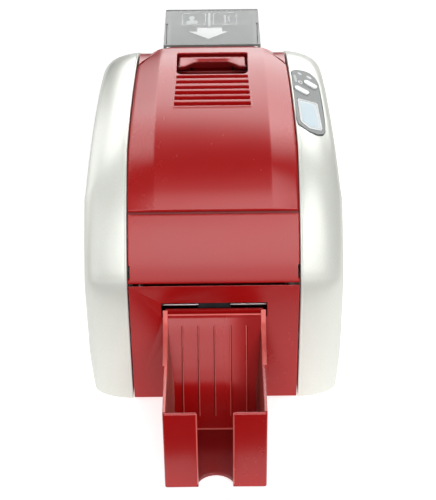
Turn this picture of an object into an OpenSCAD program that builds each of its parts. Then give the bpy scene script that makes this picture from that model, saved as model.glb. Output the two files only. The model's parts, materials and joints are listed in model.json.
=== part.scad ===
// Desktop ID card printer, built as an assembly of separate pieces.
// Units are millimetres. +Z is up, the front faces -Y, +X is to the right of a
// person standing in front. The origin is on the desk, in the middle of the
// footprint that the body and its output tray cover together.
// Inside the modules Y is counted backwards from the face of the front panel;
// place() shifts that to the part's own origin.

/* [Casing] */
// Half width of the body across the two side shells
half_w = 101.6; // [100:0.1:103]
// Half width of the red lower front panel
panel_hw = 66.2; // [66:0.1:66.4]
// Half width of the hinged front flap
flap_hw = 66.6; // [66.5:0.1:66.7]
// Half width of the top cover at its front end
cover_hw = 65.7; // [65.4:0.1:65.8]
// Wall thickness of the side shells
shell_t = 2.6; // [2.2:0.1:3]
// Wall thickness of the moulded red panels
skin_t = 2.4; // [2:0.1:2.6]
// Height of the raised middle of the top cover above its edges
crown = 3; // [1:0.1:3.4]

/* [Output tray] */
// Distance that the tray reaches in front of the front panel
tray_reach = 105; // [100:1:115]
// Height of the tray's front wall above the desk
tray_wall_z = 74.7; // [70:0.1:78]
// Wall thickness of the tray
tray_t = 2.4; // [2:0.1:2.6]

/* [Card path] */
// Height of the underside of a card on its way through
card_z = 95.5; // [95.5:0.1:95.5]
// Radius of the driven rollers
roller_r = 6; // [6:0.1:6]
// Radius of the roller shafts
shaft_r = 3; // [2.8:0.1:3]
// Radial running clearance of shafts and hinge pins
run_c = 0.05; // [0.03:0.01:0.08]

/* [Ribbon drive] */
// Gear module
gear_m = 1; // [1:0.1:1]
// Radius of the ribbon on the supply spool
supply_r = 15; // [9:0.5:16]
// Radius of the ribbon on the take-up spool
takeup_r = 11; // [8:0.5:13]

/* [Card feeder] */
// Height of the feeder lid at its front edge
lid_z0 = 221.7; // [220:0.1:222]
// Height of the feeder lid at its rear edge
lid_z1 = 226.2; // [226:0.1:227]

/* [Hidden] */

y_mid = (273 - tray_reach)/2;          // middle of the footprint, from the front panel's face
hinge = [13, 117];                     // cover hinge axis in the side view
lid_ax = [268.5, 220.6];               // feeder lid hinge axis in the side view
latch_ax = [188, 209];                 // latch lever axis in the side view
roll_z = card_z - roller_r;            // axis height of the driven rollers
y_exit = 13; y_platen = 80; y_clean = 145; y_entry = 160; y_pick = 212;
motor_c = [110, 45];                   // drive motor axis in the side view
pulley_r = 7;
fr_in = 56.5; fr_out = 58;             // inner and outer faces of the side frames

red = [0.52, 0.06, 0.09]; pearl = [0.86, 0.87, 0.84]; dark = [0.13, 0.13, 0.14];
steel = [0.66, 0.67, 0.69]; rub = [0.16, 0.16, 0.17]; smoke = [0.55, 0.58, 0.57, 0.55];

// side outline of the body where it meets the red band, from the front foot over the top to the back
side_in = [[0,3],[0,20],[0,35],[0,70],[0,98],[1.2,111.5],[4.6,119.5],[10,128],[17.5,138.8],[26,150.3],
           [35,161.5],[46,173],[59,184],[74,193.5],[92,201.8],[112,208.5],[134,213.7],[158,217.6],
           [180,219.3],[197,217.5],[214,211.3],[231,202.5],[246,190.5],[258,174],[266.5,152],[271,125],
           [272.8,95],[273,65],[273,35],[272,3]];
// side outline of the flat outer side of a shell
side_out = [[15,6],[15,20],[15,35],[15,70],[15,92],[16,105],[19,113],[24,121],[31,131],[39,140.5],
            [48,150],[58,160],[70,170],[84,179],[100,186.5],[118,193],[138,198],[158,201.5],
            [178,202.5],[194,200.5],[210,194],[225,186],[239,174],[249.5,158],[255.5,137],[257.8,110],
            [258,80],[258,55],[258,30],[257,6]];
flap_line = [[1.9,115],[4.6,119.5],[10,128],[17.5,138.8],[26,150.3],[33.2,159.4]];
cover_line = [[34.2,160.6],[46,173],[59,184],[74,193.5],[92,201.8],[112,208.5],[134,213.7],[158,217.6],
              [180,219.3],[200,218.6]];
rear_line = [[180,219.3],[197,217.5],[214,211.3],[231,202.5],[246,190.5],[258,174],[266.5,152],[271,125],
             [272.8,95],[273,65],[273,35],[272.4,3.4]];

function cr(a,b,c,d,t) = 0.5*(2*b + (c-a)*t + (2*a-5*b+4*c-d)*t*t + (3*b-a-3*c+d)*t*t*t);
// smooth curve through the points, n steps to a span
function spline(P,n) = concat([for (i=[0:len(P)-2], k=[0:n-1])
    cr(i==0 ? 2*P[0]-P[1] : P[i-1], P[i], P[i+1],
       i==len(P)-2 ? 2*P[len(P)-1]-P[len(P)-2] : P[i+2], k/n)], [P[len(P)-1]]);
function unit(v) = v/norm(v);
// moves an open curve sideways by t, to its right
function shift(P,t) = [for (i=[0:len(P)-1]) let(a=P[max(0,i-1)], b=P[min(len(P)-1,i+1)], u=unit(b-a))
    P[i] + t*[u[1],-u[0]]];
// the same for a closed loop
function inset(P,t) = let(n=len(P)) [for (i=[0:n-1]) let(u=unit(P[(i+1)%n]-P[(i+n-1)%n])) P[i] + t*[u[1],-u[0]]];
function rev(P) = [for (i=[len(P)-1:-1:0]) P[i]];
// closed band between two offsets of a curve
function band(P,a,b) = concat(shift(P,a), rev(shift(P,b)));
function clip(a) = max(0,min(1,a));
function part_of(P,y0,y1) = [for (p=P) if (p[0] >= y0 && p[0] <= y1) p];

module place() translate([0,-y_mid,0]) children();
// a side-view outline extruded across the body from x0 to x1
module across(x0,x1) translate([x0,0,0]) rotate([90,0,90]) linear_extrude(x1-x0) children();
// a rod or hole along X
module rod(y,z,r,x0,x1) translate([x0,y,z]) rotate([0,90,0]) cylinder(r=r,h=x1-x0,$fn=48);
module box(x0,x1,y0,y1,z0,z1) translate([x0,y0,z0]) cube([x1-x0,y1-y0,z1-z0]);
module both() { children(); mirror([1,0,0]) children(); }

// ---- side shells --------------------------------------------------------------
function lip_x(y) = 67.1 - 4.9*clip((y-75)/121);
function side_x(y,z) = half_w - 10*pow(max(0,(y-54)/150),0.72) - 3*pow(clip((45-z)/45),1.5);
function ring(I,O,a,t) = [for (i=[0:len(I)-1]) let(c=pow(cos(a),0.9), p=O[i]+(I[i]-O[i])*c, b=lip_x(I[i][0]))
    [b + (side_x(p[0],p[1])-t-b)*sin(a), p[0], p[1]]];
function cap(O,s,t) = [for (q=O) let(p=[140,100]+(q-[140,100])*s) [side_x(p[0],p[1])-t, p[0], p[1]]];
// solid between closed rings, each end closed to a middle point
module loft(R, p0, p1) {
    n = len(R[0]); m = len(R);
    polyhedron(concat([for (r=R) each r], [p0, p1]),
        concat([for (k=[0:m-2], j=[0:n-1]) let(a=k*n+j, b=k*n+(j+1)%n) each [[a,b,a+n],[b,b+n,a+n]]],
               [for (j=[0:n-1]) [(j+1)%n, j, m*n]],
               [for (j=[0:n-1]) [(m-1)*n+j, (m-1)*n+(j+1)%n, m*n+1]]));
}
module shell_solid(g, t, out) {
    I = inset(spline(side_in,2),g); O = inset(spline(side_out,2),g);
    R0 = [for (p=ring(I,O,0,t)) [p[0]-out,p[1],p[2]]];
    loft(concat([R0], [for (a=[out > 0 ? 0 : 14, 27, 40, 53, 66, 78, 90]) ring(I,O,a,t)],
                [for (s=[0.72,0.4]) cap(O,s,t)]),
         [64-out,140,100], [side_x(140,100)-t,140,100]);
}
module side_shell() {
    difference() { shell_solid(0,0,0); shell_solid(shell_t,shell_t,6); }
    // screw bosses reach in to the side frame
    for (p=[[40,30],[62,130],[150,150],[235,40],[235,140]]) difference() {
        rod(p[0],p[1],4,58.4,side_x(p[0],p[1])-1);
        rod(p[0],p[1],1.3,57,72);
    }
}
module panel_frame() translate([77.1,130.7,209.0]) rotate([12.1,13.3,0]) children();
// outline of the control panel in its own plane; g widens it
module panel_outline(g=0) offset(delta=g) polygon([[-13.2,30.4],[-9.8,33],[-3.4,33.4],[2.4,31.6],[7.2,26.8],[9.6,20],
    [10.9,8],[12.4,-7],[14.6,-28],[14.9,-37.8],[13.4,-43.4],[8.2,-44.9],[1.6,-42.9],[-3.7,-39.1],[-7.4,-36.2],
    [-8.8,-31],[-10.6,-9],[-12.3,11.5]]);
module left_shell() color(pearl) place() mirror([1,0,0]) side_shell();
module right_shell() color(pearl) place() difference() {
    side_shell();
    panel_frame() translate([0,0,-9]) linear_extrude(30) panel_outline(0.3);
}

// ---- control panel --------------------------------------------------------------
module slot2d(l,w) { square([l-w,w],center=true); for (s=[-1,1]) translate([s*(l-w)/2,0]) circle(d=w,$fn=40); }
module display2d(g=0) offset(delta=g) polygon([[-8.2,-4.8],[8.4,-6.6],[12.2,-37.6],[11.2,-39.9],[1.4,-39.4],[-5.6,-32.6]]);
module control_bezel() color([0.45,0.47,0.46]) place() panel_frame() difference() {
    translate([0,0,-3]) linear_extrude(3.6) panel_outline(0);
    translate([0,0,-0.9]) linear_extrude(5) display2d(0.15);
    translate([0,0,-5]) linear_extrude(3) display2d(-1.6);
    translate([-4.6,6.4,-6]) rotate([0,0,-27]) linear_extrude(12) slot2d(14,5.6);
    translate([2.8,16.2,-6]) rotate([0,0,-31]) linear_extrude(12) slot2d(13.2,5.6);
}
module display_window() color([0.62,0.76,0.85]) place() panel_frame() translate([0,0,-0.8]) linear_extrude(1.2) display2d(0);
module select_button() color([0.88,0.89,0.88]) place() panel_frame() translate([-4.6,6.4,0]) rotate([0,0,-27]) {
    translate([0,0,-3.4]) linear_extrude(5) slot2d(13.4,5);
    translate([0,0,-4.6]) linear_extrude(1.2) slot2d(14.4,6);
}
module menu_button() color([0.88,0.89,0.88]) place() panel_frame() translate([2.8,16.2,0]) rotate([0,0,-31]) {
    translate([0,0,-3.4]) linear_extrude(5) slot2d(12.6,5);
    translate([0,0,-4.6]) linear_extrude(1.2) slot2d(13.8,6);
}

// ---- red casing -------------------------------------------------------------------
module front_panel() color(red) place() difference() {
    union() {
        box(-panel_hw,panel_hw,0,skin_t,3.4,113.8);
        both() box(panel_hw-2.2,panel_hw,0,12,3.4,76);
        box(-panel_hw,panel_hw,0,10,3.4,5.6);
    }
    box(-41.2,41.2,-1,4,91.2,97.6);                       // card exit
    both() box(38.4,41.2,-1,4,84.2,92);                   // clearance beside the top of the tray
    both() box(24.6,33.4,-1,4,77.4,84.6);                 // openings for the tray's hooks
    rod(hinge[0],hinge[1],12.5,-80,80);                   // lets the flap's lower edge swing in
}
module rear_band(y0,y1) across(-61.3,61.3) polygon(band(part_of(spline(rear_line,3),y0,y1),5,5+skin_t));
module rear_deck() color(red) place() {
    difference() {
        union() {
            intersection() { rear_band(190,300); box(-70,70,201.2,300,112,230); }
            across(-36,36) polygon([[203,196],[203,219.4],[205.4,219.4],[205.4,217.8],[264,219.4],[266.2,222.8],[268.5,222.8],[270,221.6],[270,112],[262,112]]);
            both() rod(lid_ax[0],lid_ax[1],1.4,35,38.4);      // pins for the lid
            // ledge that frames the rear end of the cover
            intersection() {
                translate([0,206,0]) rotate([90,0,0]) linear_extrude(20) polygon([[-54,214.8],[-54,217.3],[-47,217.7],[-35,220.2],[35,220.2],[47,217.7],[54,217.3],[54,214.8]]);
                linear_extrude(240) polygon([[-46.5,205.4],[-49.5,202.2],[-53,196.9],[-53,190.4],[-50,196],[-47.4,200.9],[47.4,200.9],[50,196],[53,190.4],[53,196.9],[49.5,202.2],[46.5,205.4]]);
            }
        }
        box(-33.6,33.6,205.4,267.6,100,240);
        box(-33.6,33.6,260,275,212,240);                  // the rear wall stops below the lid's hinge
        both() rod(lid_ax[0],lid_ax[1],1.4,30,33.7);
        both() box(17,25,202,206,196.5,204.5);            // strike slots for the latch hooks
    }
    // raised corner pieces beside the narrow end of the cover
    both() difference() {
        intersection() {
            across(52.2,61.3) polygon(concat(part_of(spline(rear_line,3),180,206),[[206,198],[174,198],[174,218.9]]));
            linear_extrude(240) polygon([[61.6,174],[61.6,206],[50,206],[50,196]]);
        }
        box(52,53.4,170,190,212,222);
    }
}
module rear_panel() color(red) place() difference() {
    union() {
        intersection() { rear_band(200,300); box(-70,70,255,300,3.4,111.6); }
        box(-61.3,61.3,256,267,3.4,5.8);
    }
    rod_y(-42,22,6.2,260,270);
    box(-26.3,-13.7,260,270,13.3,24.9);
    box(-6.3,10.3,260,270,13.3,27.4);
    box(33.2,46.8,260,270,12,33);
    for (i=[-4:4]) box(28-sqrt(17.5*17.5-16*i*i)+0.01,28+sqrt(17.5*17.5-16*i*i),260,270,59+4*i,61+4*i);
}
module rod_y(x,z,r,y0,y1) translate([x,y0,z]) rotate([-90,0,0]) cylinder(r=r,h=y1-y0,$fn=48);
module base_tray() color(dark) place() difference() {
    union() {
        box(-61.6,61.6,10.6,255.6,3.4,5.8);
        both() box(59.6,61.6,14,252,3.4,16);
    }
    for (y=[120:12:228]) both() box(14,44,y,y+4,3,7);
}
module rubber_feet() color(rub) place() both() for (y=[24,244]) translate([52,y,0]) {
    cylinder(r=8,h=3.4,$fn=48);
}

// ---- chassis ----------------------------------------------------------------------
frame_outline = [[4,8],[4,102.4],[20,102.4],[27,110],[20,112],[14,112],[14,122],[28,122.6],[36,129],[52,142],[75,158],
    [100,168],[168,176],[178,192],[203,197],[222,196],[236,186],[248,172],[257,152],[261,110],[261,8]];
module side_frame() difference() {
    union() { across(fr_in,fr_out) polygon(frame_outline); rod(hinge[0],hinge[1],6,fr_in,fr_out); }
    rod(hinge[0],hinge[1],3.02,50,64);
    for (y=[y_exit,y_platen,y_entry,y_pick]) rod(y,roll_z,5.02,50,64);
    for (p=[[45,118],[125,118]]) rod(p[0],p[1],shaft_r+run_c,50,64);
    rod(y_exit,card_z+0.9+2.5,2.5+run_c,50,64);
    rod(y_clean,card_z+0.9+roller_r,2+run_c,50,64);
    rod(y_entry,card_z+0.9+4,2+run_c,50,64);
    for (p=[[40,30],[62,130],[150,150],[235,40],[235,140]]) rod(p[0],p[1],1.6,50,64);
    rod(motor_c[0],motor_c[1],6,50,64);
    rod(45,92,2+run_c,50,64);
    rod(45,66,5,50,64);
    box(50,64,180,220,40,70);
    box(50,64,60,78,28,62);
}
module right_frame() color(steel) place() side_frame();
module left_frame() color(steel) place() mirror([1,0,0]) side_frame();
module cross_rods() color(steel) place() for (p=[[22,16],[150,22],[238,22],[162,166]]) rod(p[0],p[1],3,-fr_in,fr_in);
module cover_hinge_pins() color(steel) place() both() {
    rod(hinge[0],hinge[1],3,fr_in-0.6,63.2);
    rod(hinge[0],hinge[1],4.4,fr_in-2,fr_in);
}
module bush(y) both() difference() {
    union() { rod(y,roll_z,5,fr_in,fr_out); rod(y,roll_z,6.2,fr_out,fr_out+0.9); }
    rod(y,roll_z,shaft_r+run_c,50,64);
}
module roller_bushes() color([0.75,0.6,0.35]) place() for (y=[y_exit,y_platen,y_entry,y_pick]) bush(y);
module card_guide() color(dark) place() difference() {
    union() {
        box(-56.3,56.3,20,172.8,93,95);
        both() box(54.3,56.3,64,72,76,93);
        both() box(54.3,56.3,100,130,76,93);
    }
    box(-34,34,y_platen-8,y_platen+8,90,98);
    box(-24,24,y_entry-8,y_entry+8,90,98);
    both() box(44,52,100,140,90,98);
}
module card_hopper() color(dark) place() difference() {
    union() {
        across(-29.5,29.5) polygon([[173.5,93],[173.5,191],[203,192],[205.8,192],[205.8,206],[263.5,206],[263.5,93]]);
    }
    box(-28,28,175,262,95,230);
    box(-24,24,y_pick-8,y_pick+8,90,98);
    box(-28,28,170,176,95,97.2);                          // cards leave here
    box(-3,3,260,266,98,200);                             // pusher slot
    both() box(14,26,190,250,92,96);
}
module drive_motor() color(dark) place() difference() {
    box(-fr_in+0.1,-22,89,131,24,66);
    rod(motor_c[0],motor_c[1],2.5+run_c,-60,-44);
}
module ribbon_motor() color(dark) place() difference() {
    box(26,fr_in-0.1,28,62,49,83);
    rod(45,66,2+run_c,46,60);
}
// path of a belt around the exit, pick and motor pulleys
module belt2d(r) {
    C = [[y_exit,roll_z],[motor_c[0],motor_c[1]],[y_pick,roll_z]];
    function dir(k) = let(d=C[(k+1)%3]-C[k%3]) atan2(d[1],d[0]);
    polygon([for (k=[0:2]) let(a=dir(k+2)-90, b0=dir(k)-90, b=b0 < a ? b0+360 : b0, n=ceil((b-a)/9))
        for (i=[0:n]) C[k] + r*[cos(a+(b-a)*i/n), sin(a+(b-a)*i/n)]]);
}
module drive_belt() color(rub) place() across(-64.6,-60) difference() { belt2d(pulley_r+1.5); belt2d(pulley_r+0.3); }
module pulley(y,z) {
    rod(y,z,pulley_r,-65.4,-59.2);
    rod(y,z,pulley_r+2.2,-59.7,-59.2);
    rod(y,z,pulley_r+2.2,-65.5,-65);
}
module main_board() color([0.08,0.3,0.15]) place() {
    box(-52,52,136,256,11.6,13.2);
    box(-20,10,160,188,13.2,15.6);
    box(-44,-26,150,176,13.2,18);
    for (i=[0:4]) box(20+5*i,23+5*i,170,182,13.2,17);
    for (p=[[30,210],[40,226],[-36,200]]) translate([p[0],p[1],13.2]) cylinder(r=5,h=5,$fn=40);
    both() for (y=[142,250]) translate([48,y,5.8]) cylinder(r=3,h=5.8,$fn=32);
}
module power_inlet() color(dark) place() difference() {
    union() { rod_y(-42,22,6,256.4,268.4); box(-49,-35,248,260,13.2,29.5); }
    difference() { rod_y(-42,22,3.4,256,270); rod_y(-42,22,1.1,255,266); }
}
module usb_port() color(steel) place() difference() {
    box(-26,-14,256.4,268.2,13.6,24.6);
    box(-24.4,-15.6,259,270,15,23.2);
}
module network_port() color(dark) place() difference() {
    box(-6,10,256.4,268.2,13.6,27.1);
    box(-4,8,258.5,270,15.4,24);
}
module switch_body() color(dark) place() difference() {
    box(33.4,46.6,256.3,268.8,12.2,32.8);
    box(35,45,258.6,270,14,31);
    rod(263.6,22.5,1.5+run_c,33.9,46.1);
}
module power_rocker() color([0.1,0.1,0.11]) place() {
    across(35.4,44.6) translate([263.6,22.5]) rotate(-7) polygon([[-3,-7.2],[5.8,-7.2],[4.4,0],[5.8,7.2],[-3,7.2]]);
    rod(263.6,22.5,1.5,34,46);
}
module fan_frame() color(dark) place() difference() {
    union() {
        difference() { box(8,48,255,264.8,40,80); rod_y(28,60,18.6,250,270); }
        rod_y(28,60,6,255,256.6);
        for (a=[0,120,240]) translate([28,255,60]) rotate([0,a,0]) translate([-1,0,0]) cube([2,1.6,19.2]);
    }
    rod_y(28,60,1.5+run_c,250,258);
    for (p=[[11,43],[45,43],[11,77],[45,77]]) rod_y(p[0],p[1],1.7,250,270);
}
module shell_screws() color(steel) place() both() for (p=[[40,30],[62,130],[150,150],[235,40],[235,140]]) {
    rod(p[0],p[1],1.25,fr_in,66);
    rod(p[0],p[1],2.8,fr_in-1.8,fr_in);
}

// ---- cover assembly -----------------------------------------------------------------
function cover_x(y) = y < 75 ? cover_hw : y < 173 ? cover_hw - 4.8*(y-75)/121 : (cover_hw-4.0) - 15.7*(y-173)/27;
// height that the cover's middle stands above its edges
function rise(u) = crown*(u > 0.7 ? (1-u)/0.3 : 1);
cover_u = [-1,-0.85,-0.7,-0.3,0.3,0.7,0.85,1];
module grid_slab(T,B) {
    m=len(T); n=len(T[0]); k=m*n;
    polyhedron(concat([for (r=T) each r],[for (r=B) each r]),
        concat([for (i=[0:m-2], j=[0:n-2]) let(a=i*n+j) each [[a,a+n,a+1],[a+1,a+n,a+n+1]]],
               [for (i=[0:m-2], j=[0:n-2]) let(a=k+i*n+j) each [[a,a+1,a+n],[a+1,a+n+1,a+n]]],
               [for (j=[0:n-2]) each [[j,j+1,k+j],[j+1,k+j+1,k+j]]],
               [for (j=[0:n-2]) let(a=(m-1)*n+j) each [[a,k+a,a+1],[a+1,k+a,k+a+1]]],
               [for (i=[0:m-2]) let(a=i*n) each [[a,k+a,a+n],[a+n,k+a,k+a+n]]],
               [for (i=[0:m-2]) let(a=i*n+n-1) each [[a,a+n,k+a],[a+n,k+a+n,k+a]]]));
}
module top_cover() color(red) place() {
    L = spline(cover_line,3); I = shift(L,skin_t);
    front = [for (i=[0:len(L)-1]) clip((L[i][0]-34)/30)];
    T = [for (i=[0:len(L)-1]) [for (u=cover_u) let(s=shift(L,-rise(abs(u))*(0.35+0.65*front[i]))[i]) [u*cover_x(L[i][0]),s[0],s[1]]]];
    B = [for (i=[0:len(L)-1]) [for (u=cover_u) [u*cover_x(L[i][0]),I[i][0],I[i][1]]]];
    difference() {
        union() {
            grid_slab(T,B);
            // tub under the latch opening
            across(-30.8,30.8) polygon([[151.8,206],[151.8,214.6],[165,215.8],[190.9,216.6],[190.9,213],[183,212.6],[183,209],[180,206]]);
            // side skirts and rear wall
            intersection() {
                across(-80,80) polygon(band(L,0.6,12));
                difference() {
                    linear_extrude(240) polygon(concat([for (y=[34,75,173,200]) [cover_x(y)-0.3,y]],[for (y=[200,173,75,34]) [-cover_x(y)+0.3,y]]));
                    translate([0,0,-1]) linear_extrude(260) polygon(concat([for (y=[30,75,172,197.6]) [cover_x(max(34,y))-2.4,y]],[for (y=[197.6,172,75,30]) [-cover_x(max(34,y))+2.4,y]]));
                }
            }
        }
        box(-29.2,29.2,153.4,189.4,207.6,240);                // latch opening
        for (i=[0:5]) across(-29.4-0.3*i,29.4+0.3*i) translate([[149.1,142.1,134.8,128.2,121.7,114.9][i],
            [218.6,217.4,216.1,214.8,213.3,211.6][i]]) rotate(10+1.3*i) square([2.6,2.6],center=true);
    }
}
module front_flap() color(red) place() difference() {
    L = spline(flap_line,3);
    union() {
        across(-flap_hw,flap_hw) polygon(band(L,0,2.2));
        both() across(flap_hw-2.2,flap_hw) polygon(band(part_of(L,4.5,40),0,8));
    }
    both() box(64.9,70,-2,12,117.6,127);                  // corner clearance beside the hinge
}
module cover_frame() color(steel) place() {
    L = concat(part_of(spline(flap_line,3),9,33), spline(cover_line,3));
    both() difference() {
        union() {
            across(60.2,62.6) polygon(band(part_of(L,9,90),skin_t+0.05,12));
            across(60.2,62.6) polygon([[8.4,117],[12.4,127.2],[21,139],[30,134.6],[19,117]]);
            rod(hinge[0],hinge[1],6,60.2,62.6);
        }
        rod(hinge[0],hinge[1],3+run_c,55,70);
    }
    across(-60.2,60.2) polygon(band(part_of(L,52,108),skin_t+0.05,4.6));
    both() across(31.6,34) polygon(band(part_of(L,100,150),skin_t+0.05,6));
    box(-60.2,60.2,146,150,203,205.6);
    both() difference() {
        across(31.6,34) polygon([[143,203],[143,210.4],[150,211.2],[180,211.6],[192,212.6],[192,205.6],[186,203]]);
        rod(latch_ax[0],latch_ax[1],1.5+run_c,30,36);
    }
}
module head_bracket() color([0.7,0.71,0.72]) place() {
    difference() {
        both() across(44,46) polygon(concat(part_of(shift(spline(cover_line,3),4.62),66,94), [[94,180],[94,118],[66,118],[66,178]]));
        both() rod(80,150,2.2,40,50);
    }
    box(-44,44,92,94,118,192);
}
module heat_sink() color([0.6,0.61,0.63]) place() {
    box(-43.8,43.8,70,91.8,120,126);
    for (i=[-6:6]) box(6.6*i-1.2,6.6*i+1.2,71,91,126,152);
}
module print_head() color([0.85,0.85,0.82]) place() {
    box(-40,40,71,89,112,119.8);
    across(-30,30) polygon([[75,112],[85,112],[82,97.2],[79,96.8]]);
    box(-18,18,66.4,71,113,118.6);
}
module latch_spring() color(steel) place() across(-4,4) polygon([[150.05,203.2],[150.05,204.2],[172,203.4],[185.8,201.8],[185.8,201],[172,202.5]]);
module latch_lever() color(red) place() {
    // finger bar with an arched front edge
    translate([0,0,215.2]) linear_extrude(2.6) polygon(concat([[-28,187],[-28,171.2]],
        [for (x=[-24:1:24]) [x, 171.2+9.4*pow(cos(90*clip((abs(x)-11)/13)),1.3)]], [[28,171.2],[28,187]]));
    both() {
        across(26,28) polygon([[171.2,215.2],[186.4,215.2],[187.6,212.6],[190.5,210.5],[190.5,206.5],[186,206.5],[184,209.6],[175,212.6]]);
        rod(latch_ax[0],latch_ax[1],1.5,27,34.6);
        across(18.6,23.4) polygon([[184,215.2],[187,215.2],[188.6,212.4],[190.6,210.6],[192,209],[193.4,204],[202.4,203],[202.4,198.6],[189.6,198.6],[185.4,206]]);
    }
    box(-28,28,184.6,187,210.4,215.2);
    box(-23.4,23.4,188,190.4,199,203);
}

// ---- card feeder ------------------------------------------------------------------
function lid_hw(y) = 41.5 - 2.8*(y-203)/69.6;
y_lid = 206.3;                         // front edge of the lid
module lid_plan(g) polygon([[lid_hw(y_lid)-g,y_lid+g],[lid_hw(272.6)-g,272.6],[-lid_hw(272.6)+g,272.6],[-lid_hw(y_lid)+g,y_lid+g]]);
module feeder_lid() color(smoke) place() difference() {
    union() {
        intersection() {
            linear_extrude(240) lid_plan(0);
            across(-50,50) polygon([[y_lid-0.2,lid_z0-2],[y_lid-0.2,lid_z0],[268,lid_z1],[272.6,lid_z1-0.6],[272.6,lid_z1-2.4],[268,lid_z1-2.2]]);
        }
        intersection() {       // side skirts
            difference() { linear_extrude(240) lid_plan(0); translate([0,0,-1]) linear_extrude(250) polygon([[39.4,200],[36.6,275],[-36.6,275],[-39.4,200]]); }
            across(-50,50) polygon([[y_lid-0.2,213],[y_lid-0.2,lid_z0-1],[272.6,lid_z1-1.4],[272.6,218],[268.5,217.4],[262,217.4]]);
        }
        box(-33,33,271.2,272.6,214.4,lid_z1-1.4);
    }
    both() rod(lid_ax[0],lid_ax[1],1.4+run_c,30,50);
    box(-60,60,206,262,200,215.4-3);
}
module card_pusher() color([0.35,0.36,0.38]) place() {
    box(-20,20,195,258,98.6,101);
    box(-15,15,203,248,101,110);
    box(-2.4,2.4,256,264.4,98.6,121);
    box(-7,7,264.4,266.6,114,121);
}
module card_gate() color([0.2,0.45,0.55]) place() {
    box(-20,20,171.6,173.2,97.6,124);
    box(-8,8,167,171.6,121,124);
}

// ---- output tray ---------------------------------------------------------------------
// front of the tray's ramp in the side view, bulging a little
ramp_line = spline([[-2.6,87.4],[-7.8,80],[-14.8,70],[-21.4,60],[-27.3,50],[-32.3,40],[-36.2,30],[-39.1,20],[-41.2,10],[-42,5.6]],2);
module output_tray() color(red) place() {
    R = tray_reach; w0 = 40.4; w1 = 38.2;
    difference() {
        union() {
            // side walls: full height to the front wall, thicker ears by the body
            both() difference() {
                across(0,60) polygon([[-0.6,79.5],[-0.6,62],[-37,3],[-R,3],[-R,tray_wall_z],[-52,77]]);
                translate([0,0,-1]) linear_extrude(100) polygon([[-1,10],[-1,-R-10],[w1-tray_t,-R-10],[w1-tray_t-0.2,-52],[w1-tray_t+0.6,10]]);
                translate([0,0,-1]) linear_extrude(100) polygon([[70,10],[70,-R-10],[w1,-R-10],[w1,-52.2],[w1+1.2,-51.8],[w0,-0.6],[w0,10]]);
            }
            // ramp, floor and two front panels
            across(-w1+0.6,w1-0.6) polygon(concat([[-0.6,87.4],[-0.6,84],[-3,79.5],[-16,61],[-26.5,41],[-33,22],[-38.6,3],[-R,3],[-R,5.6]], rev(ramp_line)));
            both() across(13,w1-0.2) polygon([[-R,3],[-R,tray_wall_z],[-R+tray_t,tray_wall_z],[-R+tray_t,3]]);
            // ribs on the ramp
            for (x=[-25,-12.5,0,12.5,25]) across(x-0.55,x+0.55) polygon(band([for (p=ramp_line) if (p[1] < 78 && p[1] > 16) p],-0.5,1.2));
        }
        // thumb notch in the front of the floor
        intersection() {
            translate([0,-R-2.2,-1]) cylinder(r=14.5,h=12,$fn=96);
            box(-13,13,-R-20,-R+20,-2,12);
        }
    }
    both() across(25.2,32.8) polygon([[-5,78],[5.6,78],[5.6,81],[4,84],[2.9,84],[2.9,81.6],[-5,81.6]]);
}

// ---- rollers ----------------------------------------------------------------------------
module driven_shaft(y) { rod(y,roll_z,shaft_r,-65.8,59.4); pulley(y,roll_z); }
module tyre(y,hw) difference() { rod(y,roll_z,roller_r,-hw,hw); rod(y,roll_z,shaft_r,-hw-1,hw+1); }
module exit_shaft() color(steel) place() driven_shaft(y_exit);
module exit_tyre() color(rub) place() tyre(y_exit,13);
module exit_pinch_rod() color(steel) place() rod(y_exit,card_z+0.9+2.5,2.5,-57.8,57.8);
module platen_shaft() color(steel) place() driven_shaft(y_platen);
module platen_tyre() color(rub) place() tyre(y_platen,32);
module entry_shaft() color(steel) place() driven_shaft(y_entry);
module entry_tyre() color(rub) place() tyre(y_entry,22);
module entry_pinch_roller() color(steel) place() { rod(y_entry,card_z+4.9,2,-57.8,57.8); both() rod(y_entry,card_z+4.9,4,8,20); }
module pick_shaft() color(steel) place() driven_shaft(y_pick);
module pick_tyre() color(rub) place() tyre(y_pick,22);
module cleaning_roller() color([0.35,0.6,0.85]) place() { rod(y_clean,card_z+0.9+roller_r,2,-57.8,57.8); rod(y_clean,card_z+0.9+roller_r,roller_r,-30,30); }
module motor_pulley() color(steel) place() { rod(motor_c[0],motor_c[1],2.5,-65.8,-46); pulley(motor_c[0],motor_c[1]); }

// ---- ribbon drive --------------------------------------------------------------------------
// polar angle of the involute at radius r, base radius b
function inv(r,b) = r <= b ? 0 : sqrt(r*r/b/b-1)*180/PI - acos(b/r);
// spur gear outline with z teeth, one tooth centred on angle a0
function gear_pts(z,a0) = let(rp=z*gear_m/2, b=rp*cos(20), ra=rp+0.85*gear_m, rf=rp-1.2*gear_m,
    h=90/z - 0.12/rp*180/PI/2 + inv(rp,b), R=[rf, max(rf,b)+0.01, rp-0.2*gear_m, rp, rp+0.45*gear_m, ra])
    [for (k=[0:z-1]) let(c=a0+k*360/z) each concat(
        [for (r=R) let(a=c-(h-inv(r,b))) r*[cos(a),sin(a)]],
        [for (i=[5:-1:0]) let(r=R[i], a=c+(h-inv(r,b))) r*[cos(a),sin(a)]])];
module spur(y,z,n,a0,bore) across(59.8,64.4) translate([y,z]) difference() {
    polygon(gear_pts(n,a0));
    if (bore > 0) circle(r=bore,$fn=48);
}
module spool(y,z,x1) {
    rod(y,z,shaft_r,-57.8,x1);
    difference() { rod(y,z,6,-40,40); rod(y,z,shaft_r,-50,50); }
    both() difference() { rod(y,z,17,31,32.6); rod(y,z,6,30,34); }
}
module supply_spool() color([0.85,0.85,0.83]) place() spool(125,118,57.8);
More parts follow.
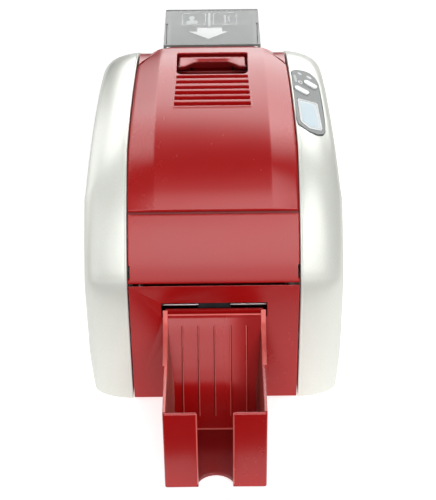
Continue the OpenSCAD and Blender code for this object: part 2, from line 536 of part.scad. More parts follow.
module supply_ribbon() color([0.1,0.1,0.12]) place() difference() { rod(125,118,supply_r,-30.8,30.8); rod(125,118,6,-40,40); }
module takeup_spool() color([0.85,0.85,0.83]) place() { spool(45,118,59.8); spur(45,118,16,90,0); }
module takeup_ribbon() color([0.1,0.1,0.12]) place() difference() { rod(45,118,takeup_r,-30.8,30.8); rod(45,118,6,-40,40); }
module idler_gear() color([0.85,0.85,0.83]) place() { spur(45,92,36,5,0); rod(45,92,2,56.4,59.8); }
module ribbon_pinion() color([0.72,0.6,0.3]) place() { spur(45,66,16,90,0); rod(45,66,2,47,59.8); }

// ---- fan -----------------------------------------------------------------------------------
module fan_rotor() color([0.2,0.2,0.22]) place() {
    rod_y(28,60,7,257.4,263.6);
    rod_y(28,60,1.5,255.4,257.4);
    for (a=[0:51.4286:359]) translate([28,260.5,60]) rotate([0,a,0]) rotate([0,0,35]) translate([-0.5,-3.4,6]) cube([1,6.8,11]);
}

base_tray();
left_shell();
right_shell();
front_panel();
rear_panel();
rear_deck();
left_frame();
right_frame();
cross_rods();
card_guide();
card_hopper();
roller_bushes();
cover_hinge_pins();
drive_motor();
ribbon_motor();
drive_belt();
main_board();
power_inlet();
usb_port();
network_port();
switch_body();
fan_frame();
rubber_feet();
shell_screws();
control_bezel();
display_window();
select_button();
menu_button();
power_rocker();
top_cover();
front_flap();
cover_frame();
head_bracket();
heat_sink();
print_head();
latch_spring();
latch_lever();
feeder_lid();
card_pusher();
card_gate();
output_tray();
exit_shaft();
exit_tyre();
exit_pinch_rod();
platen_shaft();
platen_tyre();
entry_shaft();
entry_tyre();
entry_pinch_roller();
pick_shaft();
pick_tyre();
cleaning_roller();
motor_pulley();
supply_spool();
supply_ribbon();
takeup_spool();
takeup_ribbon();
idler_gear();
ribbon_pinion();
fan_rotor();
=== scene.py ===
import bpy, bmesh, json, math
import numpy as np
from mathutils import Vector, Matrix


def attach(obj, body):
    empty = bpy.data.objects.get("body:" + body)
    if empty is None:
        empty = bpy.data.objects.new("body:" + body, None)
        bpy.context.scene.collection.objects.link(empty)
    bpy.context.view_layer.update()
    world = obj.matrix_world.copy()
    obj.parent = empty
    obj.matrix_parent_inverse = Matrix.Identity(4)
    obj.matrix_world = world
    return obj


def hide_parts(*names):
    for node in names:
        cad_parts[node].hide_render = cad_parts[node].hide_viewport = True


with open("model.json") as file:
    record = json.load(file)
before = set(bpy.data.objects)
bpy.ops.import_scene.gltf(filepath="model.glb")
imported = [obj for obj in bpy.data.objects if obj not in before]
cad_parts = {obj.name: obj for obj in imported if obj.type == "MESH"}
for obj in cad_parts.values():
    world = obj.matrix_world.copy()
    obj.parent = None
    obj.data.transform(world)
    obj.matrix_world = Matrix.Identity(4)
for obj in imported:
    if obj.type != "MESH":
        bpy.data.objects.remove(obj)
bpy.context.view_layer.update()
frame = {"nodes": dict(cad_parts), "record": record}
NODES = frame["nodes"]
RECORD = frame["record"]
SLOT = {s["node"]: s["material_slot"] for s in RECORD["subparts"]}
BODY = {n: b for b, ns in RECORD["behaviour"]["bodies"].items() for n in ns}
SCN = bpy.context.scene
YM = 84.0          # the side view's Y is counted back from the front panel's face
MM = 0.001


# ---------------------------------------------------------------- small helpers
def W(x, y, z):
    return Vector((x * MM, (y - YM) * MM, z * MM))


def clip(a):
    return max(0.0, min(1.0, a))


def sstep(a, b, x):
    t = clip((x - a) / (b - a)) if a != b else float(x > a)
    return t * t * (3 - 2 * t)


def spline(P, n):
    P = np.array(P, float)
    Q = np.vstack([2 * P[0] - P[1], P, 2 * P[-1] - P[-2]])
    out = []
    for i in range(1, len(Q) - 2):
        a, b, c, d = Q[i - 1], Q[i], Q[i + 1], Q[i + 2]
        for k in range(n):
            t = k / n
            out.append(0.5 * (2 * b + (c - a) * t + (2 * a - 5 * b + 4 * c - d) * t * t + (3 * b - a - 3 * c + d) * t ** 3))
    out.append(P[-1])
    return np.array(out)


def closed_spline(P, n):
    P = np.array(P, float)
    m = len(P)
    out = []
    for i in range(m):
        a, b, c, d = P[(i - 1) % m], P[i], P[(i + 1) % m], P[(i + 2) % m]
        for k in range(n):
            t = k / n
            out.append(0.5 * (2 * b + (c - a) * t + (2 * a - 5 * b + 4 * c - d) * t * t + (3 * b - a - 3 * c + d) * t ** 3))
    return np.array(out)


def make_mesh(name, verts, faces):
    me = bpy.data.meshes.new(name)
    me.from_pydata([tuple(v) for v in verts], [], [tuple(f) for f in faces])
    me.validate()
    me.update()
    return me


def fix_normals(me):
    bm = bmesh.new()
    bm.from_mesh(me)
    bmesh.ops.recalc_face_normals(bm, faces=bm.faces)
    bm.to_mesh(me)
    bm.free()
    me.update()


def smooth(me, angle=32):
    me.shade_smooth()
    me.set_sharp_from_angle(angle=math.radians(angle))


def put(name, me, body, mat, stands_for=(), angle=32):
    ob = bpy.data.objects.new(name, me)
    SCN.collection.objects.link(ob)
    me.materials.clear()
    me.materials.append(mat)
    smooth(me, angle)
    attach(ob, body)
    if stands_for:
        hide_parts(*stands_for)
    return ob


def even(ob):
    """Keeps large flat faces flat beside their rounded edges."""
    m = ob.modifiers.new("even", "WEIGHTED_NORMAL")
    m.keep_sharp = True
    m.weight = 80
    return ob


def bevel(ob, w, seg=3, angle=35, harden=True):
    m = ob.modifiers.new("edge", "BEVEL")
    m.width = w * MM
    m.segments = seg
    m.limit_method = "ANGLE"
    m.angle_limit = math.radians(angle)
    m.use_clamp_overlap = True
    m.harden_normals = harden
    m.miter_outer = "MITER_ARC"
    return ob


def apply_mods(ob):
    bpy.context.view_layer.update()
    dg = bpy.context.evaluated_depsgraph_get()
    me = bpy.data.meshes.new_from_object(ob.evaluated_get(dg))
    old = ob.data
    ob.modifiers.clear()
    ob.data = me
    bpy.data.meshes.remove(old)
    return ob


def cut(ob, me, op="DIFFERENCE"):
    tool = bpy.data.objects.new("tool", me)
    SCN.collection.objects.link(tool)
    m = ob.modifiers.new("cut", "BOOLEAN")
    m.operation = op
    m.solver = "EXACT"
    m.object = tool
    apply_mods(ob)
    bpy.data.objects.remove(tool)
    bpy.data.meshes.remove(me)
    return ob


def loft(loops, cap_first=True, cap_last=True, closed=True):
    """Joins equal loops of points into one skin."""
    n = len(loops[0])
    verts = [p for l in loops for p in l]
    faces = []
    for k in range(len(loops) - 1):
        for j in range(n if closed else n - 1):
            a, b = k * n + j, k * n + (j + 1) % n
            faces.append((a, b, b + n, a + n))
    if cap_first:
        faces.append(tuple(reversed(range(n))))
    if cap_last:
        faces.append(tuple(range((len(loops) - 1) * n, len(loops) * n)))
    return verts, faces


def prism(points3, offset):
    """Solid between a loop and the same loop moved by offset."""
    a = [Vector(p) for p in points3]
    b = [p + Vector(offset) for p in a]
    v, f = loft([a, b])
    me = make_mesh("prism", v, f)
    fix_normals(me)
    return me


def tidy_copy(node, name, merge=0.00001, flat=0.6):
    """A clean n-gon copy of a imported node, ready for rounded edges."""
    bm = bmesh.new()
    bm.from_mesh(NODES[node].data)
    bmesh.ops.remove_doubles(bm, verts=bm.verts, dist=merge)
    bmesh.ops.dissolve_limit(bm, angle_limit=math.radians(flat), verts=bm.verts, edges=bm.edges, use_dissolve_boundaries=False)
    bmesh.ops.recalc_face_normals(bm, faces=bm.faces)
    me = bpy.data.meshes.new(name)
    bm.to_mesh(me)
    bm.free()
    me.update()
    return me


def soften(node, mat, w, seg=3, angle=35, name=None, flat=0.6):
    me = tidy_copy(node, name or node + "_skin", flat=flat)
    ob = put(name or node + "_skin", me, BODY[node], mat, (node,), 34)
    bevel(ob, w, seg, angle)
    return ob


# ---------------------------------------------------------------- material helpers
class Nt:
    """A short way to lay out shader nodes."""

    def __init__(self, name, **bsdf):
        self.mat = bpy.data.materials.new(name)
        self.mat.use_nodes = True
        self.t = self.mat.node_tree
        self.t.nodes.clear()
        self.out = self.t.nodes.new("ShaderNodeOutputMaterial")
        self.b = self.t.nodes.new("ShaderNodeBsdfPrincipled")
        self.t.links.new(self.b.outputs[0], self.out.inputs["Surface"])
        for k, v in bsdf.items():
            self.b.inputs[k.replace("_", " ")].default_value = v
        self.coord = self.t.nodes.new("ShaderNodeTexCoord")

    def n(self, kind, **kw):
        nd = self.t.nodes.new("ShaderNode" + kind)
        for k, v in kw.items():
            if hasattr(nd, k):
                setattr(nd, k, v)
            else:
                nd.inputs[k.replace("_", " ")].default_value = v
        return nd

    def link(self, a, b):
        self.t.links.new(a, b)

    def noise(self, scale, detail=3, rough=0.5, stretch=(1, 1, 1)):
        mp = self.n("Mapping")
        mp.inputs["Scale"].default_value = stretch
        self.link(self.coord.outputs["Object"], mp.inputs["Vector"])
        nz = self.n("TexNoise", Scale=scale, Detail=detail, Roughness=rough)
        self.link(mp.outputs[0], nz.inputs["Vector"])
        return nz.outputs["Fac"]

    def voro(self, scale, feature="F1"):
        v = self.n("TexVoronoi", Scale=scale)
        v.feature = feature
        self.link(self.coord.outputs["Object"], v.inputs["Vector"])
        return v

    def rng(self, src, a, b, lo, hi, smooth=False):
        r = self.n("MapRange")
        if smooth:
            r.interpolation_type = "SMOOTHSTEP"
        r.inputs["From Min"].default_value = a
        r.inputs["From Max"].default_value = b
        r.inputs["To Min"].default_value = lo
        r.inputs["To Max"].default_value = hi
        self.link(src, r.inputs["Value"])
        return r.outputs["Result"]

    def math(self, op, a, b):
        m = self.n("Math", operation=op)
        for i, v in enumerate((a, b)):
            if isinstance(v, (int, float)):
                m.inputs[i].default_value = v
            else:
                self.link(v, m.inputs[i])
        return m.outputs[0]

    def mix(self, fac, a, b, blend="MIX"):
        m = self.n("Mix", data_type="RGBA", blend_type=blend)
        if isinstance(fac, (int, float)):
            m.inputs[0].default_value = fac
        else:
            self.link(fac, m.inputs[0])
        for i, v in ((6, a), (7, b)):
            if isinstance(v, (tuple, list)):
                m.inputs[i].default_value = (*v[:3], 1)
            else:
                self.link(v, m.inputs[i])
        return m.outputs[2]

    def bump(self, height, strength, dist, under=None):
        bp = self.n("Bump", Strength=strength, Distance=dist)
        self.link(height, bp.inputs["Height"])
        if under is not None:
            self.link(under, bp.inputs["Normal"])
        return bp.outputs[0]

    def set(self, socket, v):
        self.link(v, self.b.inputs[socket])


def red_plastic(name="red_plastic", base=(0.35, 0.0036, 0.0038), rough=0.25, matt_shade_span=None):
    m = Nt(name, Specular_IOR_Level=0.5, IOR=1.5)
    cloud = m.noise(11, 4, 0.55)
    fine = m.noise(1400, 2, 0.5)
    grain = m.voro(1150)
    # faint batch variation in the colour, slightly brighter on the grain's tops
    c = m.mix(m.rng(cloud, 0.3, 0.7, 0, 1), tuple(x * 0.93 for x in base), tuple(x * 1.06 for x in base))
    c = m.mix(m.rng(grain.outputs["Distance"], 0.1, 0.75, 0.0, 0.14), c, (base[0] * 1.5, base[1] * 2.4, base[2] * 2.4))
    # sparse dust specks
    dust = m.voro(210)
    speck = m.rng(dust.outputs["Distance"], 0.035, 0.055, 1, 0)
    rare = m.rng(m.noise(60, 1, 0.5), 0.66, 0.7, 0, 1)
    c = m.mix(m.math("MULTIPLY", m.math("MULTIPLY", speck, rare), 0.006), c, (0.62, 0.42, 0.4))
    side = 0.0
    if matt_shade_span:
        # rougher towards +x from the span's start to its end, with painted shade: the base colour darkens the same way
        sx = m.n("SeparateXYZ")
        m.link(m.coord.outputs["Object"], sx.inputs[0])
        side = m.rng(sx.outputs[0], matt_shade_span[0], matt_shade_span[1], 0, 1, True)
        c = m.mix(m.math("MULTIPLY", side, 0.45), c, (base[0] * 0.5, 0.0, 0.0))
    m.set("Base Color", c)
    # slightly polished by hands here and there, fine scuffs across
    scuff = m.noise(160, 2, 0.6, (1, 0.06, 1))
    r = m.rng(cloud, 0.25, 0.75, rough - 0.03, rough + 0.04)
    r = m.math("ADD", r, m.rng(scuff, 0.5, 0.85, 0, 0.02))
    if matt_shade_span:
        r = m.math("ADD", r, m.math("MULTIPLY", side, 0.42))
    m.set("Roughness", r)
    h = m.math("ADD", m.math("MULTIPLY", grain.outputs["Distance"], 0.7), m.math("MULTIPLY", fine, 0.5))
    m.set("Normal", m.bump(h, 0.1, 0.00007))
    return m.mat


def pearl_plastic():
    m = Nt("pearl_plastic", Metallic=0.17, Specular_IOR_Level=0.5, IOR=1.5, Coat_Weight=0.25, Coat_Roughness=0.14)
    cloud = m.noise(9, 3, 0.5)
    flake = m.voro(2600)
    c = m.mix(m.rng(cloud, 0.3, 0.7, 0, 1), (0.672, 0.69, 0.632), (0.712, 0.73, 0.672))
    c = m.mix(m.rng(flake.outputs["Color"], 0.6, 1.0, 0.0, 0.35), c, (0.9, 0.92, 0.88))
    m.set("Base Color", c)
    r = m.rng(cloud, 0.25, 0.75, 0.34, 0.4)
    r = m.math("ADD", r, m.rng(m.noise(240, 2, 0.5), 0.4, 0.7, -0.02, 0.03))
    m.set("Roughness", r)
    peel = m.noise(420, 2, 0.4)
    m.set("Normal", m.bump(m.math("ADD", peel, m.math("MULTIPLY", flake.outputs["Distance"], 0.25)), 0.1, 0.00006))
    return m.mat


def plain_plastic(name, base, rough, grain_scale=900, strength=0.2, var=0.1, coat=0.0, spec=0.5):
    m = Nt(name, Specular_IOR_Level=spec, IOR=1.5, Coat_Weight=coat, Coat_Roughness=0.1)
    cloud = m.noise(35, 4, 0.55)
    grain = m.voro(grain_scale)
    c = m.mix(m.rng(cloud, 0.3, 0.7, 0, 1), tuple(x * (1 - var) for x in base), tuple(min(1, x * (1 + var)) for x in base))
    c = m.mix(m.rng(grain.outputs["Distance"], 0.1, 0.8, 0, 0.2), c, tuple(min(1, x * 1.4 + 0.01) for x in base))
    m.set("Base Color", c)
    m.set("Roughness", m.rng(cloud, 0.25, 0.75, max(0.05, rough - 0.06), rough + 0.06))
    m.set("Normal", m.bump(grain.outputs["Distance"], strength, 0.00008))
    return m.mat


def metal(name, base, rough, brush=(1, 1, 1), scale=220, aniso=0.0, metallic=1.0):
    m = Nt(name, Metallic=metallic, Anisotropic=aniso)
    lines = m.noise(scale, 3, 0.6, brush)
    cloud = m.noise(18, 4, 0.6)
    c = m.mix(m.rng(cloud, 0.3, 0.7, 0, 1), tuple(x * 0.86 for x in base), tuple(min(1, x * 1.06) for x in base))
    c = m.mix(m.rng(lines, 0.45, 0.75, 0, 0.25), c, tuple(x * 0.7 for x in base))
    m.set("Base Color", c)
    m.set("Roughness", m.math("ADD", m.rng(lines, 0.3, 0.7, rough - 0.05, rough + 0.08), m.rng(cloud, 0.3, 0.7, -0.03, 0.05)))
    m.set("Normal", m.bump(lines, 0.12, 0.00005))
    return m.mat


def spangle(name, base, rough):
    """Zinc-plated sheet: soft bluish and yellowish patches, fine rolling lines."""
    m = Nt(name, Metallic=1.0)
    sp = m.voro(190)
    tone = m.rng(m.noise(26, 3, 0.6), 0.35, 0.65, 0, 1)
    c = m.mix(tone, base, (base[0] * 1.05, base[1] * 1.02, base[2] * 0.86))
    c = m.mix(m.rng(sp.outputs["Color"], 0.2, 0.9, 0, 0.22), c, (0.86, 0.9, 0.95))
    m.set("Base Color", c)
    rl = m.noise(500, 2, 0.5, (0.05, 1, 1))
    m.set("Roughness", m.math("ADD", m.rng(sp.outputs["Color"], 0, 1, rough - 0.05, rough + 0.07), m.rng(rl, 0.4, 0.7, 0, 0.06)))
    m.set("Normal", m.bump(rl, 0.08, 0.00004))
    return m.mat


def rubber(name, base, rough=0.6):
    m = Nt(name, Specular_IOR_Level=0.35)
    cloud = m.noise(60, 4, 0.6)
    g = m.noise(1500, 3, 0.6)
    c = m.mix(m.rng(cloud, 0.3, 0.75, 0, 1), base, tuple(min(1, x * 1.35 + 0.01) for x in base))
    m.set("Base Color", c)
    m.set("Roughness", m.rng(g, 0.3, 0.7, rough - 0.08, rough + 0.12))
    m.set("Normal", m.bump(g, 0.35, 0.00008))
    return m.mat


def board():
    m = Nt("circuit_board", Specular_IOR_Level=0.5, Coat_Weight=0.4, Coat_Roughness=0.2)
    tr = m.n("TexBrick", Scale=160.0)
    tr.inputs["Mortar Size"].default_value = 0.06
    m.link(m.coord.outputs["Object"], tr.inputs["Vector"])
    cloud = m.noise(90, 3, 0.5)
    c = m.mix(tr.outputs["Fac"], (0.012, 0.10, 0.04), (0.03, 0.2, 0.07))
    c = m.mix(m.rng(cloud, 0.35, 0.65, 0, 0.35), c, (0.02, 0.14, 0.05))
    pad = m.voro(330)
    c = m.mix(m.rng(pad.outputs["Distance"], 0.14, 0.18, 0.6, 0), c, (0.6, 0.5, 0.25))
    m.set("Base Color", c)
    m.set("Roughness", m.rng(cloud, 0.3, 0.7, 0.3, 0.45))
    m.set("Normal", m.bump(tr.outputs["Fac"], 0.3, 0.00004))
    return m.mat


def film():
    m = Nt("ribbon_film", Specular_IOR_Level=0.6, Coat_Weight=0.3, Coat_Roughness=0.08)
    wind = m.noise(900, 2, 0.5, (1, 0.2, 0.2))
    m.set("Base Color", m.mix(m.rng(wind, 0.35, 0.65, 0, 1), (0.012, 0.012, 0.014), (0.035, 0.033, 0.04)))
    m.set("Roughness", m.rng(wind, 0.3, 0.7, 0.14, 0.26))
    m.set("Normal", m.bump(wind, 0.15, 0.00005))
    return m.mat


def smoke():
    m = Nt("smoke_plastic", Specular_IOR_Level=0.36, IOR=1.5, Coat_Weight=0.0, Coat_Roughness=0.1)
    cloud = m.noise(22, 3, 0.5)
    fine = m.noise(1200, 2, 0.5)
    m.set("Base Color", m.mix(m.rng(cloud, 0.3, 0.7, 0, 1), (0.145, 0.163, 0.154), (0.175, 0.194, 0.182)))
    m.set("Roughness", m.math("ADD", m.rng(cloud, 0.3, 0.7, 0.16, 0.22), m.rng(m.noise(300, 2, 0.5, (0.05, 1, 1)), 0.6, 0.8, 0, 0.06)))
    m.set("Normal", m.bump(fine, 0.06, 0.00004))
    m.set("Alpha", m.rng(cloud, 0.3, 0.7, 0.76, 0.8))
    return m.mat


def lcd():
    """Pale blue reflective display: a faint grid of cells under a clear window."""
    m = Nt("display_cells", Specular_IOR_Level=0.5, Coat_Weight=0.4, Coat_Roughness=0.05, Roughness=0.35)
    g = m.n("TexBrick", Scale=900.0)
    g.offset = 0.0
    g.inputs["Mortar Size"].default_value = 0.03
    g.inputs["Brick Width"].default_value = 0.5
    g.inputs["Row Height"].default_value = 0.5
    m.link(m.coord.outputs["Object"], g.inputs["Vector"])
    cloud = m.noise(40, 2, 0.5)
    c = m.mix(m.rng(cloud, 0.3, 0.7, 0, 1), (0.36, 0.47, 0.53), (0.40, 0.51, 0.565))
    m.set("Base Color", m.mix(m.math("MULTIPLY", g.outputs["Fac"], 0.25), c, (0.31, 0.42, 0.48)))
    m.set("Roughness", m.rng(cloud, 0.3, 0.7, 0.3, 0.4))
    return m.mat


def ink(name, base, rough=0.4):
    m = Nt(name, Specular_IOR_Level=0.4)
    cloud = m.noise(80, 3, 0.5)
    m.set("Base Color", m.mix(m.rng(cloud, 0.3, 0.7, 0, 1), tuple(x * 0.95 for x in base), base))
    m.set("Roughness", m.rng(m.noise(900, 2, 0.5), 0.3, 0.7, rough - 0.06, rough + 0.08))
    m.set("Normal", m.bump(m.noise(1600, 1, 0.5), 0.08, 0.00003))
    return m.mat


MAT = {
    "red_plastic": red_plastic(),
    "pearl_plastic": pearl_plastic(),
    "dark_plastic": plain_plastic("dark_plastic", (0.018, 0.018, 0.02), 0.5, 800, 0.35, 0.2),
    "plated_steel": spangle("plated_steel", (0.62, 0.63, 0.64), 0.3),
    "bronze": metal("bronze", (0.5, 0.33, 0.14), 0.42, scale=500),
    "motor_can": metal("motor_can", (0.05, 0.05, 0.055), 0.36, (1, 1, 0.05), 300, metallic=0.6),
    "black_rubber": rubber("black_rubber", (0.018, 0.018, 0.02)),
    "circuit_board": board(),
    "bezel_plastic": plain_plastic("bezel_plastic", (0.09, 0.1, 0.098), 0.34, 1400, 0.08, 0.05, 0.0, 0.46),
    "display_glass": plain_plastic("display_glass", (0.48, 0.53, 0.545), 0.2, 1500, 0.03, 0.04, 0.1),
    "button_plastic": plain_plastic("button_plastic", (0.8, 0.82, 0.82), 0.28, 1500, 0.06, 0.03, 0.2),
    "head_aluminium": metal("head_aluminium", (0.7, 0.71, 0.72), 0.4, (1, 0.08, 1), 300),
    "ceramic_white": plain_plastic("ceramic_white", (0.74, 0.73, 0.68), 0.22, 1300, 0.05, 0.04, 0.4),
    "smoke_plastic": smoke(),
    "grey_plastic": plain_plastic("grey_plastic", (0.1, 0.105, 0.11), 0.42, 900, 0.25, 0.1),
    "blue_plastic": plain_plastic("blue_plastic", (0.02, 0.12, 0.22), 0.38, 900, 0.2, 0.08),
    "blue_rubber": rubber("blue_rubber", (0.05, 0.2, 0.5), 0.42),
    "gear_white": plain_plastic("gear_white", (0.7, 0.7, 0.65), 0.4, 1000, 0.12, 0.05),
    "ribbon_film": film(),
}
RED_SHADED = red_plastic("red_plastic_shaded", (0.13, 0.0012, 0.0014), 0.46)      # spark-textured hidden faces of the same plastic, rougher, and darker as painted shade
# painted shade: a darker red for the floor of the output tray
RED_FLOOR_SHADED = red_plastic("red_plastic_floor_shaded", (0.2, 0.002, 0.0022), 0.2)
# painted shade: the ramp's red darkens and turns rougher from x = 6 mm to x = 30 mm
RED_RAMP = red_plastic("red_plastic_ramp", matt_shade_span=(0.006, 0.03))
# painted shade and painted sheen for the inner faces of the tray's walls: darker on the right wall, paler and lighter
# on the left
RED_WALL_SHADE = plain_plastic("red_plastic_wall_shade", (0.22, 0.034, 0.028), 0.5, 1200, 0.1, 0.15)
RED_WALL_SHEEN = plain_plastic("red_plastic_wall_sheen", (0.42, 0.1, 0.082), 0.5, 1200, 0.1, 0.15)
RED_HIGHLIGHT = plain_plastic("red_plastic_highlight", (0.62, 0.1, 0.085), 0.3, 1300, 0.06, 0.12)   # painted highlight: a pale copy of the red for rims, edges, the ramp's top edge, the ribs' inner sides and the foot bead
INK_WHITE = ink("white_ink", (0.86, 0.88, 0.88), 0.38)
INK_FAINT = ink("faint_ink", (0.64, 0.68, 0.67), 0.42)
INK_GREY = ink("grey_ink", (0.1, 0.11, 0.12), 0.4)
deep = Nt("black_mark", Specular_IOR_Level=0.04, IOR=1.5)
deep.set("Roughness", deep.rng(deep.noise(300, 2, 0.5), 0.3, 0.7, 0.62, 0.7))
deep.set("Base Color", deep.mix(deep.rng(deep.noise(200, 2, 0.5), 0.3, 0.7, 0, 1), (0.006, 0.006, 0.007), (0.012, 0.012, 0.013)))
BLACK_MARK = deep.mat
INK_PALE = ink("pale_rim", (0.5, 0.53, 0.53), 0.34)
MAT_LCD = lcd()

for n, o in NODES.items():
    o.data.materials.clear()
    o.data.materials.append(MAT[SLOT[n]])
    o.data.shade_smooth()
    o.data.set_sharp_from_angle(angle=math.radians(30))


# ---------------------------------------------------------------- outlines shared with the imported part
SIDE_IN = [(0, 3), (0, 20), (0, 35), (0, 70), (0, 98), (1.2, 111.5), (4.6, 119.5), (10, 128), (17.5, 138.8), (26, 150.3),
           (35, 161.5), (46, 173), (59, 184), (74, 193.5), (92, 201.8), (112, 208.5), (134, 213.7), (158, 217.6),
           (180, 219.3), (197, 217.5), (214, 211.3), (231, 202.5), (246, 190.5), (258, 174), (266.5, 152), (271, 125),
           (272.8, 95), (273, 65), (273, 35), (272, 3)]
SIDE_OUT = [(15, 6), (15, 20), (15, 35), (15, 70), (15, 92), (16, 105), (19, 113), (24, 121), (31, 131), (39, 140.5),
            (48, 150), (58, 160), (70, 170), (84, 179), (100, 186.5), (118, 193), (138, 198), (158, 201.5),
            (178, 202.5), (194, 200.5), (210, 194), (225, 186), (239, 174), (249.5, 158), (255.5, 137), (257.8, 110),
            (258, 80), (258, 55), (258, 30), (257, 6)]
FLAP = [(1.9, 115.0), (4.6, 119.5), (10, 128), (17.5, 138.8), (26, 150.3), (33.0, 159.15)]
COVER = [(34.2, 160.6), (46, 173), (59, 184), (74, 193.5), (92, 201.8), (112, 208.5), (134, 213.7), (158, 217.6),
         (180, 219.3), (200, 218.6)]
HALF_W, SHELL_T, SKIN_T, CROWN = 101.6, 2.6, 2.4, 3.2


def lip_x(y):
    return 67.1 - 4.9 * clip((y - 75) / 121)


def side_x(y, z):
    return HALF_W - 10 * max(0.0, (y - 54) / 150) ** 0.72 - 3 * clip((45 - z) / 45) ** 1.5


def left_normals(P, closed=False):
    P = np.array(P)
    if closed:
        d = np.roll(P, -1, 0) - np.roll(P, 1, 0)
    else:
        d = np.gradient(P, axis=0)
    d /= np.linalg.norm(d, axis=1)[:, None] + 1e-12
    return np.c_[-d[:, 1], d[:, 0]]


# ---------------------------------------------------------------- side shells
PANEL_O = Matrix.Translation(Vector((77.1, 130.7, 209.0)))
PANEL_R = Matrix.Rotation(math.radians(13.3), 4, "Y") @ Matrix.Rotation(math.radians(12.1), 4, "X")
PANEL_M = PANEL_O @ PANEL_R


def on_panel(x, y, z=0.0):
    p = PANEL_M @ Vector((x, y, z))
    return W(*p)


PANEL_PTS = [(-13.2, 30.4), (-9.8, 33), (-3.4, 33.4), (2.4, 31.6), (7.2, 26.8), (9.6, 20), (10.9, 8), (12.4, -7), (14.6, -28), (14.9, -37.8),
             (13.4, -43.4), (8.2, -44.9), (1.6, -42.9), (-3.7, -39.1), (-7.4, -36.2), (-8.8, -31), (-10.6, -9), (-12.3, 11.5)]


def rounded(P, r, seg=6):
    """Polygon with rounded corners; r is one radius or one for each corner."""
    P = [Vector(p) for p in P]
    n = len(P)
    out = []
    for i, p in enumerate(P):
        rr = r[i] if isinstance(r, (list, tuple)) else r
        a, b = P[i - 1], P[(i + 1) % n]
        u, v = (a - p).normalized(), (b - p).normalized()
        ang = u.angle(v)
        if rr <= 0 or ang > math.pi - 0.02:
            out.append(p)
            continue
        d = min(rr / math.tan(ang / 2), 0.48 * (a - p).length, 0.48 * (b - p).length)
        rad = d * math.tan(ang / 2)
        c = p + (u + v).normalized() * (rad / math.sin(ang / 2))
        s, e = p + u * d - c, p + v * d - c
        th = s.angle(e)
        for k in range(seg + 1):
            t = k / seg
            out.append(c + (s * math.sin((1 - t) * th) + e * math.sin(t * th)) / math.sin(th))
    return [(q.x, q.y) for q in out]


def grow(P, g):
    """Outline moved outwards by g; the outline runs clockwise or anticlockwise."""
    P = [Vector(p) for p in P]
    area = sum(a.x * b.y - b.x * a.y for a, b in zip(P, P[1:] + P[:1]))
    s = 1 if area > 0 else -1
    out = []
    n = len(P)
    for i, p in enumerate(P):
        d = (P[(i + 1) % n] - P[i - 1])
        d.normalize()
        out.append((p.x + s * g * d.y, p.y - s * g * d.x))
    return out


PANEL_OUT = rounded(PANEL_PTS, 5, 4)


def shell_rings(n=8):
    """Outer and inner skins of the right-hand shell as rings of points, edge first."""
    I, O = spline(SIDE_IN, n), spline(SIDE_OUT, n)
    # extra points along the straight foot
    foot = 14
    I = np.vstack([I, [I[-1] + (I[0] - I[-1]) * k / foot for k in range(1, foot)]])
    O = np.vstack([O, [O[-1] + (O[0] - O[-1]) * k / foot for k in range(1, foot)]])
    N = left_normals(I, True)

    def at(II, OO, NN, a, t, push=0.0):
        c = math.cos(a) ** 0.9 if a < math.pi / 2 - 1e-6 else 0.0
        P = OO + (II - OO) * c + NN * push * c
        b = np.array([lip_x(p[0]) for p in II])
        sx = np.array([side_x(p[0], p[1]) for p in P]) - t
        return np.c_[b + (sx - b) * math.sin(a), P[:, 0], P[:, 1]]

    rings = []
    # rolled lip beside the red band: x steps in mm, with how far it stands proud
    for dx, h in ((0.0, -1.0), (0.08, -0.45), (0.3, -0.08), (0.65, 0.16), (1.1, 0.24), (1.5, 0.16), (1.85, -0.06), (2.15, -0.12), (2.6, -0.06), (3.2, 0.0)):
        rings.append(at(I, O, N, math.asin(min(1, dx / 34.5)), 0.0, h))
    for a in np.linspace(7.5, 90, 34):
        rings.append(at(I, O, N, math.radians(a), 0.0))
    cen = np.array([140.0, 100.0])
    for s in (0.93, 0.8, 0.62, 0.42, 0.2):
        q = cen + (O - cen) * s
        rings.append(np.c_[[side_x(p[0], p[1]) for p in q], q])
    Ii, Oi = I - N * SHELL_T, O - left_normals(O, True) * SHELL_T
    inner = []
    for dx in (0.0, 1.0, 3.0):
        inner.append(at(Ii, Oi, N, math.asin(dx / 34.5), SHELL_T))
    for a in np.linspace(9, 90, 16):
        inner.append(at(Ii, Oi, N, math.radians(a), SHELL_T))
    for s in (0.7, 0.35):
        q = cen + (Oi - cen) * s
        inner.append(np.c_[[side_x(p[0], p[1]) - SHELL_T for p in q], q])
    return rings, inner


def build_shell(sign, name, node):
    rings, inner = shell_rings()
    loops = [r for r in reversed(inner)] + rings
    loops = [[W(sign * p[0], min(p[1], 273.0), p[2]) for p in l] for l in loops]
    n = len(loops[0])
    verts, faces = loft(loops, False, False)
    for ends, x in ((0, side_x(140, 100) - SHELL_T), (len(loops) - 1, side_x(140, 100))):
        c = len(verts)
        verts.append(W(sign * x, 140, 100))
        faces += [(ends * n + j, ends * n + (j + 1) % n, c) for j in range(n)]
    me = make_mesh(name, verts, faces)
    fix_normals(me)
    ob = put(name, me, "chassis", MAT["pearl_plastic"], (node,), 40)
    if sign > 0:
        o = grow(PANEL_OUT, 0.35)
        tool = loft([[on_panel(x, y, z) for x, y in o] for z in (-12, 20)])
        t = make_mesh("tool", *tool)
        fix_normals(t)
        cut(ob, t)
        smooth(ob.data, 40)
    return ob


build_shell(1, "right_shell_skin", "right_shell")
build_shell(-1, "left_shell_skin", "left_shell")


# ---------------------------------------------------------------- top cover
def cover_x(y):
    if y < 75:
        return 66.55
    if y < 173:
        return 66.55 - 4.8 * (y - 75) / 121
    return 62.65 - 18.2 * (y - 173) / 27


COV = spline(COVER, 40)
COV_N = left_normals(COV)


def cover_pt(y, h):
    """Point of the cover's side line at y, moved outwards by h."""
    z = np.interp(y, COV[:, 0], COV[:, 1])
    ny = np.interp(y, COV[:, 0], COV_N[:, 0])
    nz = np.interp(y, COV[:, 0], COV_N[:, 1])
    return y + ny * h, z + nz * h


